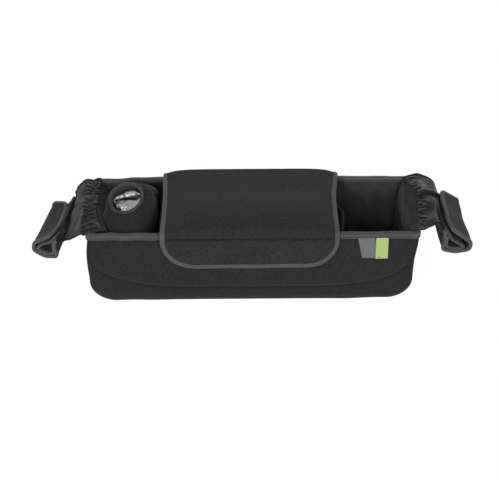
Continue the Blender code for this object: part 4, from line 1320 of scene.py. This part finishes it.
def facing(name, seam, seed, columns=36):
    """The strip inside a wing: from its seam, over the rim where the seam lies outside it, and down."""
    sign = STRAPS[name]["sign"]
    v = np.linspace(0, 1, len(seam))
    y = seam[:, 1] * 0.97
    if sign > 0:
        crest = over_rim(sign, y, 0.0024, 0.0034)
        crest[:, 0] = np.minimum(crest[:, 0], seam[:, 0] - 0.0016)
        lip = over_rim(sign, y, 0.0078, -0.0008)
        low = lip + [-0.0026, 0, -0.0120]
        guides = [seam + [0.0010, 0, -0.0010], crest, lip, low, low + [-0.0010, 0, -0.0220]]
    else:
        lip = seam + [0.0042, 0, -0.0034]
        low = np.stack([-0.1775 + 0 * y, y, 0 * y + 0.0935], -1)
        low[:, 0] = np.maximum(low[:, 0], lip[:, 0] + 0.0010)
        guides = [seam + [-0.0006, 0, -0.0003], seam + [0.0016, 0, -0.0010], lip, low,
                  low + [0.0006, 0, -0.0160]]
    place = np.linspace(0, len(guides) - 1, columns)
    points = through(np.array(guides), place).transpose(1, 0, 2)
    flat = cloth_map(points)
    normal = normals(points)
    normal = normal * np.sign(normal[:, : columns // 3, 2].mean())
    share = place[None] / (len(guides) - 1)
    lift = 0.0002 * ridges(v[:, None], share, seed, 16, 0.014) * smooth(share * 5) * (1 - smooth(share / 0.6))
    lift = lift + 0.0010 * waves(flat[..., 0], flat[..., 1], 0.030, seed + 1) * smooth(share * 4)
    points = points + normal * np.maximum(lift, -0.0002)[..., None]
    normal = normals(points)
    normal = normal * np.sign(normal[:, : columns // 3, 2].mean())
    # Its dark cloth is partly painted shade between the wing and the pocket.
    return wall("wing_facing_" + name, points, normal, FACING_HALF, FACING_HALF, FACING_CLOTH_AND_SHADE)


wings, facings = {}, {}
for name, seed in (("left", 91), ("right", 95)):
    wings[name], seam = wing_pieces(name, seed)
    facings[name] = facing(name, seam, seed + 40)
print("wings", {name: len(piece.data.polygons) for name, piece in wings.items()}, "faces")

# %% [markdown]
# ## The bottle pocket
#
# The pocket is a padded sleeve that fills its end of the tub. Above the tub's rim it is drawn in to a
# tilted elastic mouth, so its shoulder stands in fine radial gathers. Inside, a film of foil follows it.
# The empty foil has sprung up into two soft pillows with a dark slit between them, and that slit is what
# shows. A cylinder with a smaller end would be simpler, but the sleeve is square below and round above, so
# its rows blend from a soft square to a ring.

# %% Plan and mouth of the pocket
POCKET_X = -0.1500
POCKET_Y = -0.0060
POCKET_FLOOR = 0.0090
POCKET_HALF = (0.0335, 0.0480)
POCKET_POWER = 3.4
SHOULDER_Z = 0.0930
MOUTH_CENTRE = np.array([-HALF_LENGTH + 0.0448, 0.0, 0.1165])
MOUTH_AXIS = unit(np.array([-0.26, -0.46, 0.85]))
MOUTH_RADIUS = 0.0210
MOUTH_X = unit(np.array([1.0, 0, 0]) - MOUTH_AXIS * MOUTH_AXIS[0])
MOUTH_Y = np.cross(MOUTH_AXIS, MOUTH_X)


def soft_square(angle, half_x, half_y, power=POCKET_POWER):
    """A superellipse: x = half · cos^(2/p), y = half · sin^(2/p), with the signs of cos and sin."""
    c, s = np.cos(angle), np.sin(angle)
    return (half_x * np.sign(c) * np.abs(c) ** (2 / power), half_y * np.sign(s) * np.abs(s) ** (2 / power))


def pocket_body(angle, share, inset):
    """The upright part: a soft square that grows from a smaller foot to its full size at the shoulder.

    The front right corner and the lower right side are pulled in, and the back right corner stands higher.
    """
    wide, deep = soft_square(angle, POCKET_HALF[0] - inset, POCKET_HALF[1] - inset)
    grow = 0.78 + 0.22 * smooth(share * 1.4)
    right = (0.5 + 0.5 * np.cos(angle)) ** 1.5
    pulled = (0.0110 * smooth((0.008 - deep) / 0.055) + 0.0090 * (1 - smooth((share - 0.50) / 0.45))) * right
    top = SHOULDER_Z + 0.0120 * right * smooth((deep + 0.045) / 0.05)
    z = POCKET_FLOOR + inset + (top - POCKET_FLOOR - inset) * share
    return np.stack(np.broadcast_arrays(POCKET_X + (wide - pulled) * grow, POCKET_Y + deep * grow, z), -1)


def mouth_line(angle, radius, tall=1.0, depth=0.0):
    """A ring in the mouth's own tilted plane, flattened by tall and set down by depth."""
    c, s = np.cos(angle)[..., None], np.sin(angle)[..., None]
    return MOUTH_CENTRE + (MOUTH_X * c + MOUTH_Y * s * tall) * radius - MOUTH_AXIS * depth


def away_from(points, centre):
    """Normals of a closed round grid that point away from a place inside it."""
    normal = normals(points, wrap_columns=True)
    return normal * np.sign((normal * (points - centre)).sum(-1).mean())


print("pocket", round(2 * POCKET_HALF[0], 4), "by", round(2 * POCKET_HALF[1], 4), "m")


# %% Sleeve
SLEEVE = 0.0030


def pocket(columns=200, body_rows=36, shoulder_rows=36):
    """Upright rows, then a shoulder whose plan blends by 1 - cos and whose height by sin into the mouth."""
    angle = np.linspace(0, TURN, columns, endpoint=False)[None]
    body = pocket_body(angle, np.linspace(0, 1, body_rows)[:, None], 0.0)
    turn = np.linspace(0, 1, shoulder_rows + 1)[1:, None] * np.pi / 2
    ring = mouth_line(angle, MOUTH_RADIUS + 0.0002, 1.0, 0.0022)
    plan, rise = (1 - np.cos(turn))[..., None], np.sin(turn)[..., None]
    shoulder = np.concatenate([(body[-1:] * (1 - plan) + ring * plan)[..., :2],
                               (body[-1:] * (1 - rise) + ring * rise)[..., 2:]], -1)
    points = np.concatenate([body, shoulder])
    share = np.concatenate([np.zeros(body_rows), np.linspace(0, 1, shoulder_rows + 1)[1:]])[:, None]
    centre = np.array([POCKET_X, POCKET_Y, 0.06])
    normal = away_from(points, centre)
    gathers = np.sin(angle * 29 + 1.9 * np.sin(angle * 3 + 0.7) + 1.2 * np.sin(angle * 5 + 2.1))
    soft = waves(points[..., 0] + points[..., 2], points[..., 1] - points[..., 2] * 0.5, 0.034, 102)
    lift = 0.0004 * gathers * smooth((share - 0.45) / 0.5) + 0.0017 * soft * (1 - share ** 2)
    fold = 0.0040 * np.exp(-((angle - 0.75) / 0.30) ** 2) * np.exp(-((share - 0.12) / 0.25) ** 2)
    tuck = 0.0022 * np.exp(-((angle - 0.30) / 0.10) ** 2) * np.exp(-((share - 0.20) / 0.20) ** 2)
    rises = smooth((points[..., 2] - 0.012) / 0.02)
    points = points + normal * ((lift + fold - tuck) * rises)[..., None]
    return wall("pocket_sleeve", points, away_from(points, centre), 0.0, SLEEVE, KNIT,
                ["bottle_sleeve"], wrap=True, foot=True)


pocket_sleeve = pocket()
print("sleeve", len(pocket_sleeve.data.polygons), "faces")


# %% Foil
# Rows of the foil from the ring inwards: its depth below the ring, and its width and opening in mouth radii.
FOIL_DEPTHS = [0.0086, 0.0080, 0.0068, 0.0056, 0.0052, 0.0060, 0.0084, 0.0140, 0.0230]
FOIL_WIDTHS = [0.870, 0.865, 0.860, 0.850, 0.840, 0.830, 0.815, 0.790, 0.770]
FOIL_OPENINGS = [0.870, 0.840, 0.740, 0.600, 0.430, 0.250, 0.100, 0.045, 0.060]
FOIL_SHIFT = 0.0050
FOIL_HALF = 0.00025


def crumple(u, v, length, seed):
    """Sharp creases: 1 - |wave| has a ridge wherever the wave crosses zero."""
    return 1 - np.abs(np.clip(waves(u, v, length, seed), -1, 1)) * 1.6


def foil_normals(points, rows):
    """Normals of the foil that point out of the pocket at its lowest rows."""
    normal = normals(points, wrap_columns=True)
    away = points[:rows] - np.array([POCKET_X, POCKET_Y, 0.05])
    return normal * np.sign((normal[:rows] * away).sum(-1).mean())


def foil(columns=200, lip_rows=54, body_rows=20):
    """Foil from the ring: two pillows that nearly close the mouth, a slit between them, and a bag below."""
    angle = np.linspace(0, TURN, columns, endpoint=False)[None]
    where = np.linspace(0, len(FOIL_DEPTHS) - 1, lip_rows)
    rows = (FOIL_DEPTHS, FOIL_WIDTHS, FOIL_OPENINGS)
    depth, width, opening = (through(values, where)[:, None] for values in rows)
    bulge = 0.75 + 0.25 * np.abs(np.sin(angle)) ** 0.7
    depth = FOIL_DEPTHS[0] + (depth - FOIL_DEPTHS[0]) / bulge
    c, s = np.cos(angle)[..., None], np.sin(angle)[..., None]
    bend = 0.0016 * np.sin(angle + 0.4) ** 2 * np.cos(angle * 2 + 1.0)
    slit = MOUTH_CENTRE + MOUTH_Y * (FOIL_SHIFT * (1 - (opening / FOIL_OPENINGS[0])) ** 1.5)[..., None]
    tall = (opening / bulge ** 0.2)[..., None]
    lips = slit + (MOUTH_X * c * width[..., None] + MOUTH_Y * s * tall) * MOUTH_RADIUS
    lips = lips - MOUTH_AXIS * (depth + bend * smooth((where - 1)[:, None] / 3))[..., None]
    share = np.linspace(1, 0, body_rows + 1)[1:, None]
    body = pocket_body(angle, share * 0.86, 0.0050)
    blend = smooth((1 - share) * 3.2)[..., None]
    low = lips[-1:] * (1 - blend) + body * blend
    low[..., 2] = lips[-1:, :, 2] + (body[..., 2] - lips[-1:, :, 2]) * smooth((1 - share) * 1.6)
    low[..., 2] = np.minimum(low[..., 2], lips[-1:, :, 2])
    points = np.concatenate([lips, low])[::-1]
    normal = foil_normals(points, body_rows // 2)
    x, y, z = points[..., 0], points[..., 1], points[..., 2]
    creases = 0.0007 * crumple(x + z * 0.5, y - z * 0.6, 0.018, 111)
    creases = creases + 0.0003 * crumple(x - z, y + z, 0.009, 112)
    held = np.concatenate([np.full(body_rows, 1.0), smooth(where / 1.5)[::-1]])[:, None]
    points = points - normal * ((creases - 0.0006) * held)[..., None]
    normal = foil_normals(points, body_rows // 2)
    return wall("pocket_foil", points, normal, FOIL_HALF, FOIL_HALF, FOIL, ["bottle_foil"], wrap=True,
                foot=True)


pocket_foil = foil()
print("foil", len(pocket_foil.data.polygons), "faces")


# %% Cuff and ring of the mouth
CUFF_TOP = 0.0006
CUFF_DEPTH = 0.0094


def mouth_cuff(columns=200, rows=14):
    """The dark inner cuff that runs from the ring down to the foil's edge."""
    angle = np.linspace(0, TURN, columns, endpoint=False)[None]
    share = np.linspace(0, 1, rows)[:, None]
    radius = MOUTH_RADIUS * (0.955 - 0.065 * share) + 0.0003 * np.sin(angle * 31) * share
    around = MOUTH_X * np.cos(angle)[..., None] + MOUTH_Y * np.sin(angle)[..., None]
    points = MOUTH_CENTRE + around * radius[..., None]
    points = points - MOUTH_AXIS * (CUFF_TOP + CUFF_DEPTH * share + 0 * angle)[..., None]
    return wall("mouth_cuff", points, normals(points, wrap_columns=True), 0.0003, 0.0003, LINING_CLOTH,
                wrap=True)


def mouth_ring():
    """An elastic casing: a ring whose round section swells and pinches in small gathers."""
    angle = np.linspace(0, TURN, 400, endpoint=False)[:, None]
    turn = np.linspace(0, TURN, 18, endpoint=False)[None]
    gathers = np.sin(angle * 40 + 2.0 * np.sin(angle * 4) + 1.1 * np.sin(angle * 9 + 1.0))
    size = 0.0022 * (1 + 0.10 * gathers + 0.06 * waves(angle * 0.022, turn * 0.003, 0.012, 121))
    radius = MOUTH_RADIUS + 0.0004 * waves(angle * 0.022, 0 * turn, 0.03, 122) + size * np.cos(turn)
    around = MOUTH_X * np.cos(angle)[..., None] + MOUTH_Y * np.sin(angle)[..., None]
    points = MOUTH_CENTRE + around * radius[..., None] + MOUTH_AXIS * (size * np.sin(turn))[..., None]
    return band("mouth_ring", points, DARK_TAPE, ["bottle_ring"], loop=True)


cuff = mouth_cuff()
ring = mouth_ring()
print("cuff", len(cuff.data.polygons), "faces, ring", len(ring.data.polygons), "faces")

# %% [markdown]
# ## Tabs
#
# Two small tabs hang from under the front rim tape: a plain grey woven one and a lime green ribbon. Each is
# a single layer of cloth. A flat plate would look like a sticker, so it curls away from the panel by the
# square of the distance from its seam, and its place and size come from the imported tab.


# %% Tabs
TAB_HALF = 0.00035


def tab(name, node, slant, finish, curl, seed):
    """A strip of ribbon that leans by slant, and curls out by the square of the distance from its seam."""
    low, high = (np.array(corner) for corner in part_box(node))
    width = high[0] - low[0] - slant
    down = np.linspace(0, 1, 40)[:, None]
    across = np.linspace(0, 1, 34)[None]
    x = low[0] + width * across + slant * down
    z = high[2] + 0.0015 - (high[2] - low[2] + 0.0015) * down + 0 * across
    bow = curl * down ** 2 + 0.0003 * waves(x, z, 0.02, seed) * smooth(down * 4)
    y = (low[1] + high[1]) / 2 - 0.0008 - bow
    points = np.stack(np.broadcast_arrays(x, y, z), -1)
    return wall(name, points, normals(points[::-1])[::-1], TAB_HALF, TAB_HALF, finish, [node])


label = tab("grey_tab", "label_tab", 0.006, GREY_WEAVE, 0.0022, 131)
ribbon = tab("green_tab", "ribbon_tab", 0.0, GREEN_RIBBON, 0.0012, 132)
for node, finish in (("base_board", BOARD), ("hook_patch", PILE), ("loop_patch", PILE)):
    for material_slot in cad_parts[node].material_slots:
        material_slot.material = finish
print("tabs and kept pieces finished")

# %% [markdown]
# ## Light and floor
#
# Three big soft lamps light the dark cloth: the strongest from the front left, a weaker one from the front
# right and the weakest from behind. The background could be made white by more light, but that would wash
# out the cloth. So the floor and the world show white to the camera and in reflections only, and the floor
# still takes part of the real shading, which keeps a faint shadow under the tub.


# %% Lamps
def lamp(name, place, size, watts):
    """A square area lamp that faces the middle of the tub."""
    light = bpy.data.lights.new(name, "AREA")
    light.shape = "SQUARE"
    light.size = size
    light.energy = watts
    obj = bpy.data.objects.new(name, light)
    obj.location = place
    obj.rotation_euler = (Vector((0, 0, 0.05)) - Vector(place)).to_track_quat("-Z", "Y").to_euler()
    bpy.context.scene.collection.objects.link(obj)


LAMP_SIZE = 1.3
lamp("key", (-0.9, -2.4, 1.0), LAMP_SIZE, 40)
lamp("fill", (1.3, -2.3, 0.9), LAMP_SIZE, 18)
lamp("back", (0.3, 2.4, 0.5), LAMP_SIZE, 9)


# %% World and floor
ROOM_STRENGTH = 0.17
WHITE_STRENGTH = 1.1
GLOW_STRENGTH = 1.12
GLOW_SHARE = 0.86
FLOOR_REACH = 6
FLOOR_Z = -0.0004


def white_behind(tree, lit, white, share, output):
    """Mixes in a plain white that only camera, glossy and transmission rays see, by the share given."""
    path = tree.nodes.new("ShaderNodeLightPath")
    seen = Pattern(tree, path.outputs["Is Camera Ray"]) + Pattern(tree, path.outputs["Is Glossy Ray"])
    seen = seen + Pattern(tree, path.outputs["Is Transmission Ray"])
    mix = tree.nodes.new("ShaderNodeMixShader")
    fill(tree, mix.inputs[0], seen.math("MINIMUM", seen, 1.0) * share)
    tree.links.new(lit, mix.inputs[1])
    tree.links.new(white, mix.inputs[2])
    tree.links.new(mix.outputs[0], output)


world = bpy.data.worlds.new("studio")
world.use_nodes = True
bpy.context.scene.world = world
tree = world.node_tree
room = tree.nodes["Background"]
room.inputs["Strength"].default_value = ROOM_STRENGTH
room.inputs["Color"].default_value = (1, 1, 1, 1)
white = tree.nodes.new("ShaderNodeBackground")
white.inputs["Color"].default_value = (1, 1, 1, 1)
white.inputs["Strength"].default_value = WHITE_STRENGTH
white_behind(tree, room.outputs[0], white.outputs[0], 1.0, tree.nodes["World Output"].inputs["Surface"])

ground = Finish("floor", Roughness=0.8, Base_Color=(0.85, 0.85, 0.85, 1))
glow = ground.node("ShaderNodeEmission", {}, {"Strength": GLOW_STRENGTH})
output = ground.tree.nodes["Material Output"].inputs["Surface"]
white_behind(ground.tree, ground.shader.outputs[0], glow.output, GLOW_SHARE, output)
mesh = bpy.data.meshes.new("floor")
corners = [(x * FLOOR_REACH, y * FLOOR_REACH, FLOOR_Z) for x, y in ((-1, -1), (1, -1), (1, 1), (-1, 1))]
mesh.from_pydata(corners, [], [(0, 1, 2, 3)])
mesh.materials.append(ground.material)
floor = bpy.data.objects.new("floor", mesh)
bpy.context.scene.collection.objects.link(floor)
bpy.context.scene.view_settings.view_transform = "Standard"
print("floor", 2 * FLOOR_REACH, "m wide, room strength", ROOM_STRENGTH)
